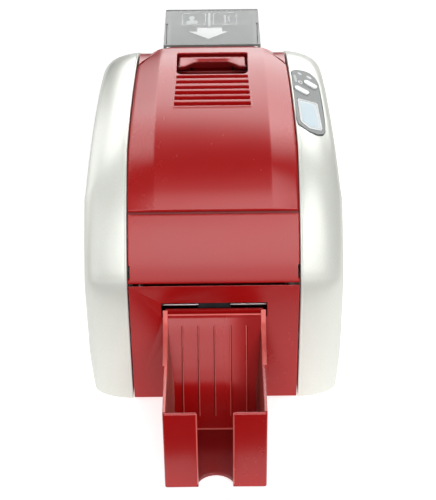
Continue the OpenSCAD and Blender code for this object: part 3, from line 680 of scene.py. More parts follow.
def cover_rise(u, y, w):
    full = 66.1 - 4.8 * max(0.0, y - 75) / 121      # the creases run straight on past the cut-off rear corners
    t = (1 - abs(u) * w / full) / 0.305
    k = 0.03
    s = (t + 1 - math.sqrt((t - 1) ** 2 + k * k)) / 2
    h = (CROWN * s - 0.9 * (1 - s)) * (0.2 + 0.8 * clip((y - 34) / 27) ** 0.8)
    d = (1 - abs(u)) * w
    if d < 2.4:
        h -= 0.5 * (1 - d / 2.4) ** 2
    if d < 1.0:
        h -= 0.5 * (1 - d / 1.0) ** 2
    for e in (y - 34.2, 200 - y):
        if e < 1.2:
            h -= 0.6 * (1 - e / 1.2) ** 2
    return h


GROOVES = [(149.1, 29.4), (142.1, 29.7), (134.8, 30.0), (128.2, 30.3), (121.7, 30.6), (114.9, 30.9)]


def groove(x, y):
    for yc, hw in GROOVES:
        if abs(y - yc) < 3.4 and abs(x) < hw + 1.6:
            dy = y - yc
            ax, ay = abs(x) - (hw - 0.9), abs(dy) - 1.25
            d = math.hypot(max(ax, 0), max(ay, 0)) + min(max(ax, ay), 0) - 0.9
            h = -3.4 * sstep(0.05, -0.8, d)
            near = sstep(0.6, -0.6, dy)
            h += (0.1 + 0.16 * near) * math.exp(-((d - 0.7) / (0.45 + 0.3 * near)) ** 2)      # rolled edge around the groove
            return h
    return 0.0


def build_cover():
    ys = []
    y = 34.2
    while y < 200 - 1e-6:
        ys.append(y)
        near = min(abs(y - yc) for yc, _ in GROOVES)
        step = 0.3 if y < 35.6 or y > 198.4 else (0.22 if near < 2.9 else (0.8 if 110 < y < 152 else 1.6))
        y += step
    ys.append(200.0)
    us = [0.0]
    u = 0.0
    while u < 1 - 1e-9:
        step = 0.0035 if 0.975 < u else (0.0048 if 0.43 < u < 0.51 else (0.007 if 0.64 < u < 0.78 else (0.008 if u > 0.93 else 0.04)))
        u = min(1.0, u + step)
        us.append(u)
    us = [-v for v in reversed(us[1:])] + us
    nu = len(us)
    top, bot = [], []
    for y in ys:
        w = cover_x(y)
        for u in us:
            x = u * w
            h = cover_rise(u, y, w) + groove(x, y)
            yy, zz = cover_pt(y, h)
            top.append(W(x, yy, zz))
            yy, zz = cover_pt(y, -SKIN_T)
            bot.append(W(x, yy, zz))
    n = len(top)
    verts = top + bot
    faces = []
    for i in range(len(ys) - 1):
        for j in range(nu - 1):
            a = i * nu + j
            faces.append((a, a + 1, a + nu + 1, a + nu))
            faces.append((n + a, n + a + nu, n + a + nu + 1, n + a + 1))
    m = (len(ys) - 1) * nu
    for j in range(nu - 1):
        faces.append((j + 1, j, n + j, n + j + 1))
        faces.append((m + j, m + j + 1, n + m + j + 1, n + m + j))
    for i in range(len(ys) - 1):
        a = i * nu
        faces.append((a, a + nu, n + a + nu, n + a))
        b = a + nu - 1
        faces.append((b + nu, b, n + b, n + b + nu))
    me = make_mesh("top_cover_skin", verts, faces)
    fix_normals(me)
    ob = put("top_cover_skin", me, "cover", MAT["red_plastic"], ("top_cover",), 40)
    # opening for the latch, its edge rolled over
    base = rounded([(-29.2, 153.4), (29.2, 153.4), (29.2, 188.6), (-29.2, 188.6)], [4.5, 4.5, 1.4, 1.4], 8)
    loops = []
    for g, h in ((2.6, -12), (2.2, -1.9), (0.1, -1.3), (0.06, -0.7), (0.22, -0.32), (0.5, -0.08), (0.85, 0.06), (1.2, 0.1), (1.2, 8)):
        l = []
        for x, yv in grow(base, g):
            yy, zz = cover_pt(yv, CROWN + h)
            l.append(W(x, yy, zz))
        loops.append(l)
    t = make_mesh("tool", *loft(loops))
    fix_normals(t)
    cut(ob, t)
    smooth(ob.data, 40)
    # tub under the opening
    loops = []
    prof = [(0.02, None), (0.02, -2.2), (0.02, 0)] + [(3.6 - 3.6 * math.cos(a), 3.6 - 3.6 * math.sin(a)) for a in np.linspace(0.15, math.pi / 2, 7)]
    inner = rounded([(-29.2, 153.4), (29.2, 153.4), (29.2, 181), (-29.2, 181)], [4.5, 4.5, 1, 1], 8)
    outer = grow(inner, 1.3)

    def tub_loop(out, inset, z):
        l = []
        for x, yv in grow(out, -inset):
            top_z = cover_pt(yv, -1.2)[1]
            low = sstep(174, 178, yv)
            zz = (top_z * (1 - low) + 209.0 * low) if z is None else z
            l.append(W(x, yv, zz))
        return l

    fl = 207.6
    seq = [tub_loop(outer, 3.4, fl - 1.4), tub_loop(outer, 1.0, fl - 1.2), tub_loop(outer, 0, fl), tub_loop(outer, 0, None), tub_loop(inner, 0, None)]
    for k in range(8):
        a = math.pi / 2 * k / 7
        seq.append(tub_loop(inner, 1.4 * (1 - math.cos(a)) * 2, fl + 1.4 * (1 - math.sin(a))))
    me = make_mesh("latch_tub", *loft(seq))
    fix_normals(me)
    # painted shade: the tub is in the darker copy of the red
    put("latch_tub", me, "cover", RED_SHADED, (), 50)
    lo = []
    for x in np.linspace(-30.4, 30.4, 12):
        lo.append([W(x, yv, zv) for yv, zv in ((190.2, 212.0), (190.2, 220.2), (190.7, 220.2), (190.7, 212.0))])
    me = make_mesh("latch_pocket_wall", *loft(lo))
    fix_normals(me)
    # painted shade: the wall is in the darker copy of the red
    put("latch_pocket_wall", me, "cover", RED_SHADED, (), 50)
    # skirt walls inside the cover
    for sgn, nm in ((1, "right"), (-1, "left")):
        lo = []
        for y in np.linspace(35.2, 197, 60):
            w = cover_x(y)
            a, b = cover_pt(y, -2.2), cover_pt(y, -11.6)
            lo.append([W(sgn * (w - 0.35), *a), W(sgn * (w - 0.35), *b), W(sgn * (w - 2.35), *b), W(sgn * (w - 2.35), *a)])
        v, f = loft(lo)
        me = make_mesh("cover_skirt_" + nm, v, f)
        fix_normals(me)
        put("cover_skirt_" + nm, me, "cover", MAT["red_plastic"], (), 40)
    lo = []
    for x in np.linspace(-45, 45, 24):
        a, b = cover_pt(199.6, -2.2), cover_pt(199.6, -11.6)
        c, d = cover_pt(197.7, -11.6), cover_pt(197.7, -2.2)
        lo.append([W(x, *a), W(x, *b), W(x, *c), W(x, *d)])
    me = make_mesh("cover_skirt_rear", *loft(lo))
    fix_normals(me)
    put("cover_skirt_rear", me, "cover", MAT["red_plastic"], (), 40)
    return ob


build_cover()


# ---------------------------------------------------------------- front flap
def build_flap():
    P = spline(FLAP, 14)
    N = left_normals(P)
    hw = 66.6
    xs = np.concatenate([np.linspace(-hw, -hw + 1.4, 6), np.linspace(-60, 60, 25), np.linspace(hw - 1.4, hw, 6)])
    # profile around the section: outside from bottom to top, then inside back down
    S = np.r_[0, np.cumsum(np.linalg.norm(np.diff(P, axis=0), axis=1))]
    L = S[-1]

    def sec(s, h):
        y, z = np.interp(s, S, P[:, 0]), np.interp(s, S, P[:, 1])
        ny, nz = np.interp(s, S, N[:, 0]), np.interp(s, S, N[:, 1])
        return y + ny * h, z + nz * h

    r = 0.9
    prof = []
    for k in range(6):
        a = math.pi / 2 * k / 5
        prof.append((r * (1 - math.sin(a)), -r * (1 - math.cos(math.pi / 2 - a)) if k == 0 else -r * (1 - math.sin(math.pi / 2 * k / 5))))
    prof = [(r * (1 - math.cos(math.pi / 2 * k / 5)), -r * (1 - math.sin(math.pi / 2 * k / 5))) for k in range(6)]
    out = prof + [(s, 0) for s in np.linspace(r, L - r, 44)[1:-1]] + [(L - a, b) for a, b in reversed(prof)]
    ins = [(s, -2.2) for s in np.linspace(L, 0, 24)]
    loops = []
    for x in xs:
        d = hw - abs(x)
        e = -0.8 * (1 - math.sqrt(max(0, 1 - (1 - min(1, d / 1.2)) ** 2))) if d < 1.2 else 0.0
        l = []
        for s, h in out:
            l.append(W(x, *sec(s, max(h + e, -2.15))))
        for s, h in ins:
            l.append(W(x, *sec(s, h)))
        loops.append(l)
    me = make_mesh("front_flap_skin", *loft(loops))
    fix_normals(me)
    ob = put("front_flap_skin", me, "cover", MAT["red_plastic"], ("front_flap",), 42)
    for sgn in (1, -1):
        bx = [W(sgn * x, y, z) for x, y, z in ((65.1, -2, 117.6), (70, -2, 117.6), (70, 14, 117.6), (65.1, 14, 117.6))]
        cut(ob, prism(bx, (0, 0, 9.4 * MM)))
    # returns at both ends
    for sgn, nm in ((1, "right"), (-1, "left")):
        lo = []
        for s in np.linspace(S[np.searchsorted(P[:, 0], 10.2)], L - 0.4, 24):
            a, b = sec(s, -2.0), sec(s, -8)
            lo.append([W(sgn * (hw - 0.3), *a), W(sgn * (hw - 0.3), *b), W(sgn * (hw - 2.2), *b), W(sgn * (hw - 2.2), *a)])
        me = make_mesh("flap_return_" + nm, *loft(lo))
        fix_normals(me)
        put("flap_return_" + nm, me, "cover", MAT["red_plastic"], (), 40)
    # web that joins flap and cover behind the seam between them
    lo = []
    for x in np.linspace(-66.2, 66.2, 30):
        a, b = cover_pt(36.6, -1.7), cover_pt(36.6, -4.4)
        c, d = sec(L - 2.6, -4.4), sec(L - 2.6, -1.7)
        lo.append([W(x, *a), W(x, *b), W(x, *c), W(x, *d)])
    me = make_mesh("seam_web", *loft(lo))
    fix_normals(me)
    # painted shade: the web behind the seam is in the darker copy of the red
    put("seam_web", me, "cover", RED_SHADED, (), 40)
    smooth(ob.data, 42)
    return ob


build_flap()


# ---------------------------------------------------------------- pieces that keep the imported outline, with rounded edges
RED = MAT["red_plastic"]
soften("front_panel", RED, 0.55, 3)
soften("rear_deck", RED, 0.5, 3)
rp = NODES["rear_panel"]
bm = bmesh.new()
bm.from_mesh(rp.data)
bmesh.ops.remove_doubles(bm, verts=bm.verts, dist=0.000005)
bmesh.ops.recalc_face_normals(bm, faces=bm.faces)
me = bpy.data.meshes.new("rear_panel_skin")
bm.to_mesh(me)
bm.free()
put("rear_panel_skin", me, BODY["rear_panel"], RED, ("rear_panel",), 30)
# painted shade: the latch lever is in the darker copy of the red
soften("latch_lever", RED_SHADED, 0.6, 3)
lo = []
for x in np.linspace(-27.7, 27.7, 57):
    yf = 171.6 + 9.4 * math.cos(math.radians(90 * clip((abs(x) - 11) / 13))) ** 1.3
    e = min(1.0, (27.7 - abs(x)) / 0.9)
    dz = -0.5 * (1 - math.sqrt(max(0.0, 1 - (1 - e) ** 2)))
    lo.append([W(x, yf, 217.0), W(x, yf - 0.25, 217.5 + dz * 0.5), W(x, yf + 0.1, 217.95 + dz), W(x, yf + 0.9, 218.2 + dz),
               W(x, yf + 0.35 * (186 - yf), 218.2 + 0.33 * 1.7 + dz), W(x, 184.0, 219.45 + dz), W(x, 185.9, 219.75 + dz), W(x, 186.5, 219.65 + dz),
               W(x, 186.8, 219.3 + dz), W(x, 186.9, 217.0)])
me = make_mesh("latch_bar_top", *loft(lo))
fix_normals(me)
put("latch_bar_top", me, BODY["latch_lever"], RED, (), 50)
soften("base_tray", MAT["dark_plastic"], 0.3, 2)
soften("rubber_feet", MAT["black_rubber"], 0.8, 3)
soften("control_bezel", MAT["bezel_plastic"], 0.35, 3)
soften("select_button", MAT["button_plastic"], 0.7, 4)
soften("menu_button", MAT["button_plastic"], 0.8, 4)
soften("power_rocker", MAT["dark_plastic"], 0.5, 3)
lid = soften("feeder_lid", MAT["smoke_plastic"], 0.6, 3)
for vtx in lid.data.vertices:
    t = clip((vtx.co.y / MM + YM - 206.3) / 61.7)
    if abs(vtx.co.x) > 35.4 * MM:
        vtx.co.x += math.copysign((0.3 + 1.9 * t) * MM, vtx.co.x)


# ---------------------------------------------------------------- card output tray
TRAY_R, TRAY_W0, TRAY_W1, TRAY_T, TRAY_Z = 105.0, 40.4, 38.2, 2.4, 74.7
RAMP = spline([(-2.6, 87.4), (-7.8, 80), (-14.5, 70), (-21.2, 60), (-27.8, 50), (-33.2, 41), (-36.9, 31), (-39.6, 20), (-41.4, 10), (-42, 5.6)], 8)


def tray_outer(y):
    if y > -52:
        return TRAY_W1 + 1.2 + (TRAY_W0 - TRAY_W1 - 1.2) * (y + 52) / 51.4
    return TRAY_W1


def tray_inner(y):
    if y > -52:
        return TRAY_W1 - TRAY_T - 0.2 + 0.8 * (y + 52) / 62
    return TRAY_W1 - TRAY_T - 0.2 * (105 + y) / 53


def tray_wall_top(y):
    if y > -52:
        return float(np.interp(y, [-52, -30, -20, -14, -10, -7, -4, -2, -0.6], [77, 77.5, 78.1, 79.2, 80.8, 83.0, 86.5, 89.5, 91.4]))
    return TRAY_Z + (77 - TRAY_Z) * (y + TRAY_R) / 53


def ramp_z(y):
    return float(np.interp(-y, -RAMP[:, 0], RAMP[:, 1])) if y > -42 else 5.6


def tray_wall_low(y):
    if y > -0.7:
        return 62.0
    if y > -37:
        return 62 + (3 - 62) * (y + 0.6) / -36.4
    return 3.0


def build_tray():
    body, slot, mat = BODY["output_tray"], SLOT["output_tray"], MAT["red_plastic"]
    # side walls with rounded rims: a section at each station from the body outwards
    for sgn, nm in ((1, "right"), (-1, "left")):
        ys = [-0.6, -1.3, -2, -3, -4, -5.5, -7, -8.5, -10, -12, -14, -17, -20] + list(np.linspace(-22.5, -36.4, 7)) + [-37.0, -41, -46, -50, -51.4, -51.9, -52.1, -52.6, -56, -64, -76, -88, -96, -102.6]
        loops = []
        for y in ys:
            xo, xi, zt, zl = tray_outer(y), tray_inner(y), tray_wall_top(y), tray_wall_low(y)
            r = min(0.75, (xo - xi) * 0.32)
            l = [(xo, zl)]
            l += [(xo, zt - r - 6), (xo, zt - r)]
            l += [(xo - r + r * math.cos(a), zt - r + r * math.sin(a)) for a in np.linspace(0.3, math.pi / 2, 4)]
            l += [(xi + r - r * math.sin(a), zt - r + r * math.cos(a)) for a in np.linspace(0, math.pi / 2 - 0.3, 4)]
            # inner face with draft, running into a fillet at the ramp and the floor
            zr = min(ramp_z(y), zt - r - 0.4)
            f = 4.0 * clip((zt - zr - 4) / 30)
            l += [(xi - f * (0.5 * t + 0.5 * t ** 6), zt - r - (zt - r - zr) * t) for t in (0, 0.25, 0.5, 0.7, 0.82, 0.9, 0.96, 1.0)]
            l += [(xi - f, min(zl, zr - 0.2))]
            loops.append([W(sgn * x, y, z) for x, z in l])
        me = make_mesh("tray_wall_" + nm, *loft(loops))
        fix_normals(me)
        even(put("tray_wall_" + nm, me, body, mat, ("output_tray",) if sgn > 0 else (), 38))
        # inner faces: painted shade on the right wall, painted sheen on the left; rims facing up: painted highlight
        me.materials.append(RED_WALL_SHADE if sgn > 0 else RED_WALL_SHEEN)
        me.materials.append(RED_HIGHLIGHT)
        for q in me.polygons:
            yv = q.center.y / MM + YM
            if sgn * q.normal.x < -0.35 and q.normal.z > -0.5 and yv < -12:
                q.material_index = 1
            elif q.normal.z > 0.45 and (sgn < 0 or yv > -52) and yv > -TRAY_R + 2.6:
                q.material_index = 2
        # front panel of this side, every edge rounded
        r = 0.7
        x0, x1, y0, y1 = 13.0, TRAY_W1 + 0.02, -TRAY_R, -TRAY_R + 3.0
        loops = []
        for z, g in ((3.0, 0.5), (3.2, 0.15), (3.6, 0), (20, 0), (40, 0), (60, 0), (TRAY_Z - 1.5, 0), (TRAY_Z - 1.15, 0.07), (TRAY_Z - 0.95, 0.2), (TRAY_Z - 0.25, 0.85), (TRAY_Z - 0.05, 1.1), (TRAY_Z, 1.25)):
            sq = rounded([(x0, y0), (x1, y0), (x1, y1), (x0, y1)], [1.5, 1.3, 0.3, 1.3], 6)
            cx, cy = (x0 + x1) / 2, (y0 + y1) / 2
            hx, hy = (x1 - x0) / 2, (y1 - y0) / 2
            loops.append([W(sgn * (cx + (x - cx) * (hx - g) / hx), cy + (y - cy) * (hy - g) / hy, z) for x, y in sq])
        me = make_mesh("tray_front_" + nm, *loft(loops))
        fix_normals(me)
        even(put("tray_front_" + nm, me, body, mat, (), 40))
        # painted highlight on the faces turned to the middle and the front
        me.materials.append(RED_HIGHLIGHT)
        for q in me.polygons:
            if sgn * q.normal.x < -0.3 and q.normal.y < -0.3:
                q.material_index = 1
        # hook that hangs the tray on the front panel
        hk = [(-5, 78), (5.6, 78), (5.6, 81), (4, 84), (2.9, 84), (2.9, 81.6), (-5, 81.6)]
        me = prism([W(sgn * 25.2, y, z) for y, z in hk], (sgn * 7.6 * MM, 0, 0))
        ob = put("tray_hook_" + nm, me, body, mat, (), 34)
        bevel(ob, 0.35, 2)
    # floor with a rounded thumb notch in its front edge
    cy, rad = -TRAY_R - 2.2, 14.5
    ang = math.asin(min(1, 13.0 / rad))
    notch = [(rad * math.sin(a), cy + rad * math.cos(a)) for a in np.linspace(-ang, ang, 40)]
    hw = TRAY_W1 - 0.9
    plan = [(-hw, -40), (-hw, -TRAY_R + 0.02), (-13.0, -TRAY_R + 0.02)] + notch + [(13.0, -TRAY_R + 0.02), (hw, -TRAY_R + 0.02), (hw, -40)]
    loops = [[W(x, y, z) for x, y in grow(plan, -g)] for z, g in ((3.0, 0.45), (3.12, 0.2), (3.45, 0.02), (3.9, 0), (4.9, 0), (5.3, 0.1), (5.52, 0.3), (5.6, 0.6))]
    me = make_mesh("tray_floor", *loft(loops))
    fix_normals(me)
    # painted shade: the floor is in the darker red
    even(put("tray_floor", me, body, RED_FLOOR_SHADED, (), 36))
    # curved ramp: front skin, rolled top edge and back skin
    back = spline([(-0.6, 84), (-3, 79.5), (-9.6, 70.5), (-16, 61), (-21.6, 51.2), (-26.5, 41), (-30, 31.6), (-33, 22), (-35.6, 13), (-38.6, 3.1)], 4)
    prof = [(-2.75, 87.9)] + [tuple(q) for q in RAMP[1:]] + [(-42.0, 3.3), (-41.4, 3.1)] + [tuple(q) for q in back[::-1]] + [(-0.6, 87.2), (-0.62, 88.0), (-0.85, 88.55), (-1.3, 88.8), (-1.8, 88.75), (-2.3, 88.45)]
    xs = list(np.linspace(-37.5, 37.5, 31))
    me = make_mesh("tray_ramp", *loft([[W(x, y, z) for y, z in prof] for x in xs]))
    fix_normals(me)
    even(put("tray_ramp", me, body, RED_RAMP, (), 50))
    # painted highlight along the ramp's rolled top edge
    me.materials.append(RED_HIGHLIGHT)
    for q in me.polygons:
        if q.center.z / MM > 87.4 and q.normal.y < -0.15 and q.normal.z > 0.1:
            q.material_index = 1
    # five slim ribs, square at the top and running out above the floor
    RN = left_normals(RAMP)
    keep = [i for i in range(len(RAMP)) if 17 < RAMP[i][1] < 81.5]
    for k, x0 in enumerate((-25, -12.5, 0, 12.5, 25)):
        loops = []
        m = len(keep)
        for j, i in enumerate(keep):
            y, z = RAMP[i]
            n = RN[i] if RN[i][0] < 0 else -RN[i]
            h = 1.6 * (1 - sstep(0.7, 1.0, j / (m - 1)) * 0.85)
            cs = [(-0.72, -0.5), (-0.72, 0.4 * h), (-0.62, 0.72 * h), (-0.34, 0.94 * h), (0.0, h), (0.34, 0.94 * h), (0.62, 0.72 * h), (0.72, 0.4 * h), (0.72, -0.5)]
            loops.append([W(x0 + a, y + n[0] * b, z + n[1] * b) for a, b in cs])
        me = make_mesh("tray_rib_%d" % (k + 1), *loft(loops))
        fix_normals(me)
        # painted shade: each rib is in the darker copy of the red; its side facing the middle takes the painted
        # highlight
        ob = put("tray_rib_%d" % (k + 1), me, body, RED_SHADED, (), 50)
        me.materials.append(RED_HIGHLIGHT)
        side = -1 if x0 > 1 else 1
        for q in me.polygons:
            if side * (q.center.x / MM - x0) > 0.1 and q.normal.y < 0.2:
                q.material_index = 1
    # bead along the foot of the ramp, all in the painted highlight
    loops = []
    for x in np.linspace(-35.4, 35.4, 9):
        loops.append([W(x, -42.3 + 0.75 * math.cos(a), 5.75 + 0.75 * math.sin(a)) for a in np.linspace(0, 2 * math.pi, 14, endpoint=False)])
    me = make_mesh("tray_foot_bead", *loft(loops))
    fix_normals(me)
    put("tray_foot_bead", me, body, RED_HIGHLIGHT, (), 60)


build_tray()

# polished guide lips inside the card exit, either side of the roller
for sgn, nm in ((1, "right"), (-1, "left")):
    lo = []
    for x in np.linspace(12.4, 40.6, 9):
        r = 0.95 * min(1.0, 0.55 + min(x - 12.4, 40.6 - x) * 1.5)
        lo.append([W(sgn * x, 4.4 + r * math.cos(a), 93.3 + r * math.sin(a)) for a in np.linspace(0, 2 * math.pi, 16, endpoint=False)])
    me = make_mesh("exit_guide_" + nm, *loft(lo))
    fix_normals(me)
    put("exit_guide_" + nm, me, "chassis", MAT["plated_steel"], (), 60)


# ---------------------------------------------------------------- printed marks on the lid
def lid_top(y):
    return 221.7 + (226.2 - 221.7) * (y - 206.3) / 61.7


def decal(name, outlines, mat, place, body, thick=0.12, holes=()):
    """A thin printed layer following place(x, y, z)."""
    cu = bpy.data.curves.new(name, "CURVE")
    cu.dimensions = "2D"
    cu.fill_mode = "BOTH"
    for P in list(outlines) + list(holes):
        sp = cu.splines.new("POLY")
        sp.points.add(len(P) - 1)
        for q, p in zip(sp.points, P):
            q.co = (p[0], p[1], 0, 1)
        sp.use_cyclic_u = True
    cu.extrude = thick / 2
    ob = bpy.data.objects.new(name, cu)
    SCN.collection.objects.link(ob)
    bpy.context.view_layer.update()
    me = bpy.data.meshes.new_from_object(ob.evaluated_get(bpy.context.evaluated_depsgraph_get()))
    bpy.data.objects.remove(ob)
    bpy.data.curves.remove(cu)
    for v in me.vertices:
        v.co = place(v.co.x, v.co.y, v.co.z + thick / 2)
    bm = bmesh.new()
    bm.from_mesh(me)
    bmesh.ops.remove_doubles(bm, verts=bm.verts, dist=1e-6)
    bmesh.ops.recalc_face_normals(bm, faces=bm.faces)
    bm.to_mesh(me)
    bm.free()
    me.name = name
    return put(name, me, body, mat, (), 30)


def on_lid(x, y, z):
    return W(x, y, lid_top(y) + 0.02 + z)


# inner edges of the lid's side walls, seen as thin dark lines, each ending in a small round stop
for sgn, nm in ((1, "right"), (-1, "left")):
    line = [(sgn * x, y) for x, y in ((38.75, 207.6), (39.3, 207.6), (39.85, 242.9), (39.3, 242.9))]
    stop = [(sgn * 39.55 + 0.85 * math.cos(a), 243.3 + 1.1 * math.sin(a)) for a in np.linspace(0, 2 * math.pi, 16, endpoint=False)]
    decal("lid_wall_line_" + nm, [line if sgn > 0 else line[::-1]], BLACK_MARK, on_lid, "lid")
    decal("lid_stop_" + nm, [stop], BLACK_MARK, on_lid, "lid")
arrow = [(-12.9, 236.4), (8.8, 236.4), (8.8, 229.4), (14.0, 229.4), (-3.0, 216.4), (-19.8, 229.4), (-12.9, 229.4)]
decal("lid_arrow", [arrow], INK_WHITE, on_lid, "lid")
CARD = rounded([(-26.5, 241), (-5.4, 241), (-5.4, 263.5), (-26.5, 263.5)], 2.2, 5)
CARD_H = grow(CARD, -0.85)
CARD2 = rounded([(0.9, 241), (22.0, 241), (22.0, 263.5), (0.9, 263.5)], 2.2, 5)
CARD2_H = grow(CARD2, -0.85)
decal("lid_card_front", [CARD], INK_FAINT, on_lid, "lid", holes=[CARD_H])
decal("lid_card_back", [CARD2], INK_FAINT, on_lid, "lid", holes=[CARD2_H])
# plain figure on one card, a stripe on the other, and the line between them
head = [(-17.6 + 2.6 * math.cos(t), 254.5 + 3.4 * math.sin(t)) for t in np.linspace(0, 2 * math.pi, 24, endpoint=False)]
bust = rounded([(-22.6, 243.5), (-12.4, 243.5), (-12.4, 248.3), (-17.6, 251.2), (-22.6, 248.3)], 1.8, 5)
decal("lid_card_figure", [head, bust], INK_FAINT, on_lid, "lid")
decal("lid_card_stripe", [[(10.6, 244), (12.4, 244), (12.4, 260), (10.6, 260)], [(14.2, 246), (15.6, 246), (15.6, 258), (14.2, 258)]], INK_FAINT, on_lid, "lid")
decal("lid_divider", [[(-3.4, 238.5), (-1.2, 238.5), (-1.2, 263.5), (-3.4, 263.5)]], INK_FAINT, on_lid, "lid")


# ---------------------------------------------------------------- marks and display on the control panel
def on_bezel(x, y, z):
    return on_panel(x, y, 0.62 + z)


LCD = rounded([(-8.2, -4.8), (8.4, -6.6), (12.2, -37.6), (11.2, -39.9), (1.4, -39.4), (-5.6, -32.6)], [1.4, 1.4, 2, 1.2, 3, 3], 5)
v, f = loft([[on_panel(x, y, z) for x, y in grow(LCD, g)] for z, g in ((-0.6, -0.1), (0.4, -0.1), (0.58, -0.25), (0.66, -0.6))])
me = make_mesh("display_skin", v, f)
fix_normals(me)
put("display_skin", me, "chassis", MAT["display_glass"], ("display_window",), 30)
AREA = rounded([(-5.6, -8.6), (5.6, -9.2), (9.2, -35.6), (2.2, -37.0), (-3.2, -31.8)], 0.8, 4)
decal("display_area", [AREA], MAT_LCD, on_bezel, "chassis", thick=0.16)
decal("display_rim", [grow(LCD, 0.1)], INK_WHITE, on_bezel, "chassis", holes=[grow(LCD, -1.0)], thick=0.24)


def oval(x, y, a, b, rot=0.0, n=28):
    c, q = math.cos(rot), math.sin(rot)
    return [(x + a * math.cos(t) * c - b * math.sin(t) * q, y + a * math.cos(t) * q + b * math.sin(t) * c) for t in np.linspace(0, 2 * math.pi, n, endpoint=False)]


decal("panel_mark_drop", [rounded([(-8.6, 29.6), (-6.2, 29.2), (-3.6, 26.6), (-7.0, 27.0)], 0.5, 4)], INK_WHITE, on_bezel, "chassis")
decal("panel_mark_dot", [oval(1.6, 25.4, 2.6, 1.2, -0.45)], INK_WHITE, on_bezel, "chassis")
decal("panel_mark_ring", [oval(-5.6, 17.0, 2.1, 1.7, -0.5)], INK_WHITE, on_bezel, "chassis", holes=[oval(-5.6, 17.0, 1.2, 0.9, -0.5)])
decal("panel_mark_patch", [rounded([(-11.6, 25.6), (-9.4, 24.6), (-8.4, 16.6), (-10.4, 15.8)], 0.9, 4)], INK_PALE, on_bezel, "chassis")


# ---------------------------------------------------------------- studio
def stage_mesh(name, verts, faces, mat):
    me = make_mesh(name, verts, faces)
    me.materials.append(mat)
    me.shade_smooth()
    ob = bpy.data.objects.new(name, me)
    SCN.collection.objects.link(ob)
    return ob


# the paper sheet the object stands on, lit from within as by an overexposed sweep
fl = Nt("studio_floor", Specular_IOR_Level=0.1, Emission_Strength=0.62)
fl.b.inputs["Emission Color"].default_value = (1, 1, 1, 1)
fl.set("Base Color", fl.mix(fl.rng(fl.noise(3, 3, 0.5), 0.3, 0.7, 0, 1), (0.84, 0.84, 0.835), (0.86, 0.86, 0.855)))
fl.set("Roughness", fl.rng(fl.noise(40, 3, 0.5), 0.3, 0.7, 0.75, 0.85))
R = 4.0
stage_mesh("floor", [(-R, -0.202, 0), (-0.35, -0.202, 0), (-0.013, -0.2275, 0), (-0.012, -0.197, 0), (0.012, -0.197, 0), (0.013, -0.2295, 0), (0.35, -0.255, 0), (R, -0.255, 0), (R, R, 0), (-R, R, 0)], [tuple(range(10))], fl.mat)


def softbox(name, loc, target, sx, sy, power, color=(1, 1, 1)):
    d = bpy.data.lights.new(name, "AREA")
    d.shape = "RECTANGLE"
    d.size, d.size_y = sx, sy
    d.energy = power
    d.color = color
    ob = bpy.data.objects.new(name, d)
    SCN.collection.objects.link(ob)
    ob.location = loc
    ob.rotation_mode = "QUATERNION"
    ob.rotation_quaternion = (Vector(target) - Vector(loc)).to_track_quat("-Z", "Y")
    ob.visible_glossy = False
    return ob


AIM = (0, 0.03, 0.12)


def polar(az, el, r):
    a, e = math.radians(az), math.radians(el)
    return (AIM[0] + r * math.sin(a) * math.cos(e), AIM[1] - r * math.cos(a) * math.cos(e), AIM[2] + r * math.sin(e))


softbox("key_box", polar(8, 34, 1.7), AIM, 1.6, 1.0, 20.5)

# soft-edged lights around the room: az runs from the front to the right, el up from the horizon
world = bpy.data.worlds.new("studio")
SCN.world = world
world.use_nodes = True
wt = world.node_tree
wt.nodes.clear()


def wn(kind, **kw):
    nd = wt.nodes.new("ShaderNode" + kind)
    for k, v in kw.items():
        setattr(nd, k, v)
    return nd


def wmath(op, a, b=None):
    nd = wn("Math", operation=op)
    for i, v in enumerate((a, b)):
        if v is None:
            continue
        if isinstance(v, (int, float)):
            nd.inputs[i].default_value = v
        else:
            wt.links.new(v, nd.inputs[i])
    return nd.outputs[0]


def wstep(src, a, b):
    """0 at a, 1 at b, soft between."""
    nd = wn("MapRange", interpolation_type="SMOOTHSTEP")
    nd.inputs["From Min"].default_value = min(a, b)
    nd.inputs["From Max"].default_value = max(a, b)
    nd.inputs["To Min"].default_value = 0.0 if a < b else 1.0
    nd.inputs["To Max"].default_value = 1.0 if a < b else 0.0
    wt.links.new(src, nd.inputs["Value"])
    return nd.outputs["Result"]


wc = wn("TexCoord")
wx = wn("SeparateXYZ")
wt.links.new(wc.outputs["Generated"], wx.inputs[0])
X, Y, Z = wx.outputs
DEG = 57.29578
el = wmath("MULTIPLY", wmath("ARCSINE", Z), DEG)
azf = wmath("MULTIPLY", wmath("ARCTAN2", X, wmath("MULTIPLY", Y, -1.0)), DEG)
azb = wmath("MULTIPLY", wmath("ARCTAN2", X, Y), DEG)


def prod(*v):
    r = v[0]
    for q in v[1:]:
        r = wmath("MULTIPLY", r, q)
    return r


def low(v, k):
    return wmath("MULTIPLY", wmath("MINIMUM", v, 0.0), k)


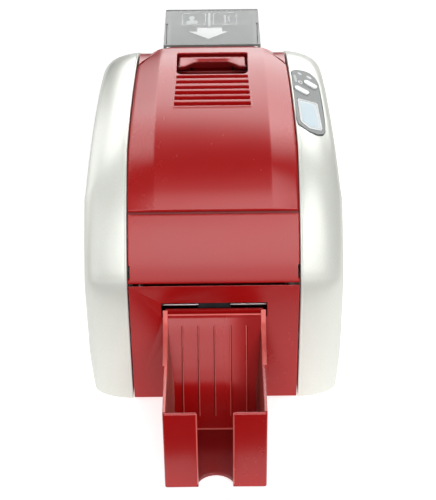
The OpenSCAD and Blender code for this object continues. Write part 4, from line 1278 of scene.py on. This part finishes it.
slant = wmath("SUBTRACT", el, wmath("MULTIPLY", wmath("MAXIMUM", wmath("MINIMUM", X, 0.06), -0.06), 80.0))
back = prod(wstep(azb, -44, -33), wstep(azb, 62, 44), wstep(wmath("ADD", el, low(azb, 1.0)), 4, 23), wstep(slant, 79, 60), 5.6)
lean = wmath("SUBTRACT", el, wmath("MULTIPLY", azf, 0.35))
sides = prod(wstep(azf, -66, -38), wstep(azf, 54, 38), wstep(el, 23, 37))
front = wmath("MULTIPLY", sides, wmath("ADD", prod(wstep(lean, 53, 43), 3.6), prod(wstep(lean, 68, 44), 0.85)))
left = prod(wstep(azf, -150, -132), wstep(azf, -84, -104), wstep(el, -4, 4), wstep(el, 58, 36), 3.0)
corner = prod(wstep(azf, -86, -68), wstep(azf, -40, -54), wstep(el, 2, 14), wstep(el, 44, 30), 1.8)
over = prod(wstep(azf, 80, 104), wstep(azf, 168, 145), wstep(el, 48, 62), wstep(el, 86, 76), wstep(X, 0.12, 0.24), 3.9)
above = prod(wstep(azf, -168, -152), wstep(azf, -78, -95), wstep(el, 46, 58), wstep(el, 87, 77), wstep(X, -0.12, -0.24), 4.4)
left = wmath("ADD", left, wmath("ADD", corner, wmath("ADD", over, above)))
glossy = wmath("ADD", wmath("ADD", back, front), wmath("ADD", left, wmath("ADD", wmath("MULTIPLY", wstep(el, 10, 50), 0.17), 0.07)))
lp = wn("LightPath")


def choose(flag, yes, no):
    return wmath("ADD", wmath("MULTIPLY", flag, yes), wmath("MULTIPLY", wmath("SUBTRACT", 1.0, flag), no))


up = wstep(el, -8, 4)
floor_glow = choose(up, glossy, 0.0)
strength = choose(lp.outputs["Is Glossy Ray"], floor_glow, choose(lp.outputs["Is Camera Ray"], 1.0, 0.35))
bg = wn("Background")
bg.inputs["Color"].default_value = (1, 1, 1, 1)
wt.links.new(strength, bg.inputs["Strength"])
wo = wn("OutputWorld")
wt.links.new(bg.outputs[0], wo.inputs["Surface"])

SCN.view_settings.view_transform = "Standard"
SCN.view_settings.look = "None"
SCN.view_settings.exposure = 0.0
SCN.view_settings.gamma = 1.0

# ---------------------------------------------------------------- camera at the photograph's angle
cd = bpy.data.cameras.new("camera")
cd.sensor_fit = "AUTO"
cd.sensor_width = 36
cd.lens = 95.4
cd.clip_start, cd.clip_end = 0.02, 50
cam = bpy.data.objects.new("camera", cd)
SCN.collection.objects.link(cam)
pitch, yaw, roll = math.radians(33.5), math.radians(-0.10), math.radians(-0.67)
fwd = Vector((math.sin(yaw) * math.cos(pitch), math.cos(yaw) * math.cos(pitch), -math.sin(pitch)))
q = fwd.to_track_quat("-Z", "Y")
cam.rotation_mode = "QUATERNION"
from mathutils import Quaternion
cam.rotation_quaternion = q @ Quaternion((0, 0, 1), roll)
cam.location = (0.0049, -0.92134, 0.70140)
SCN.camera = cam
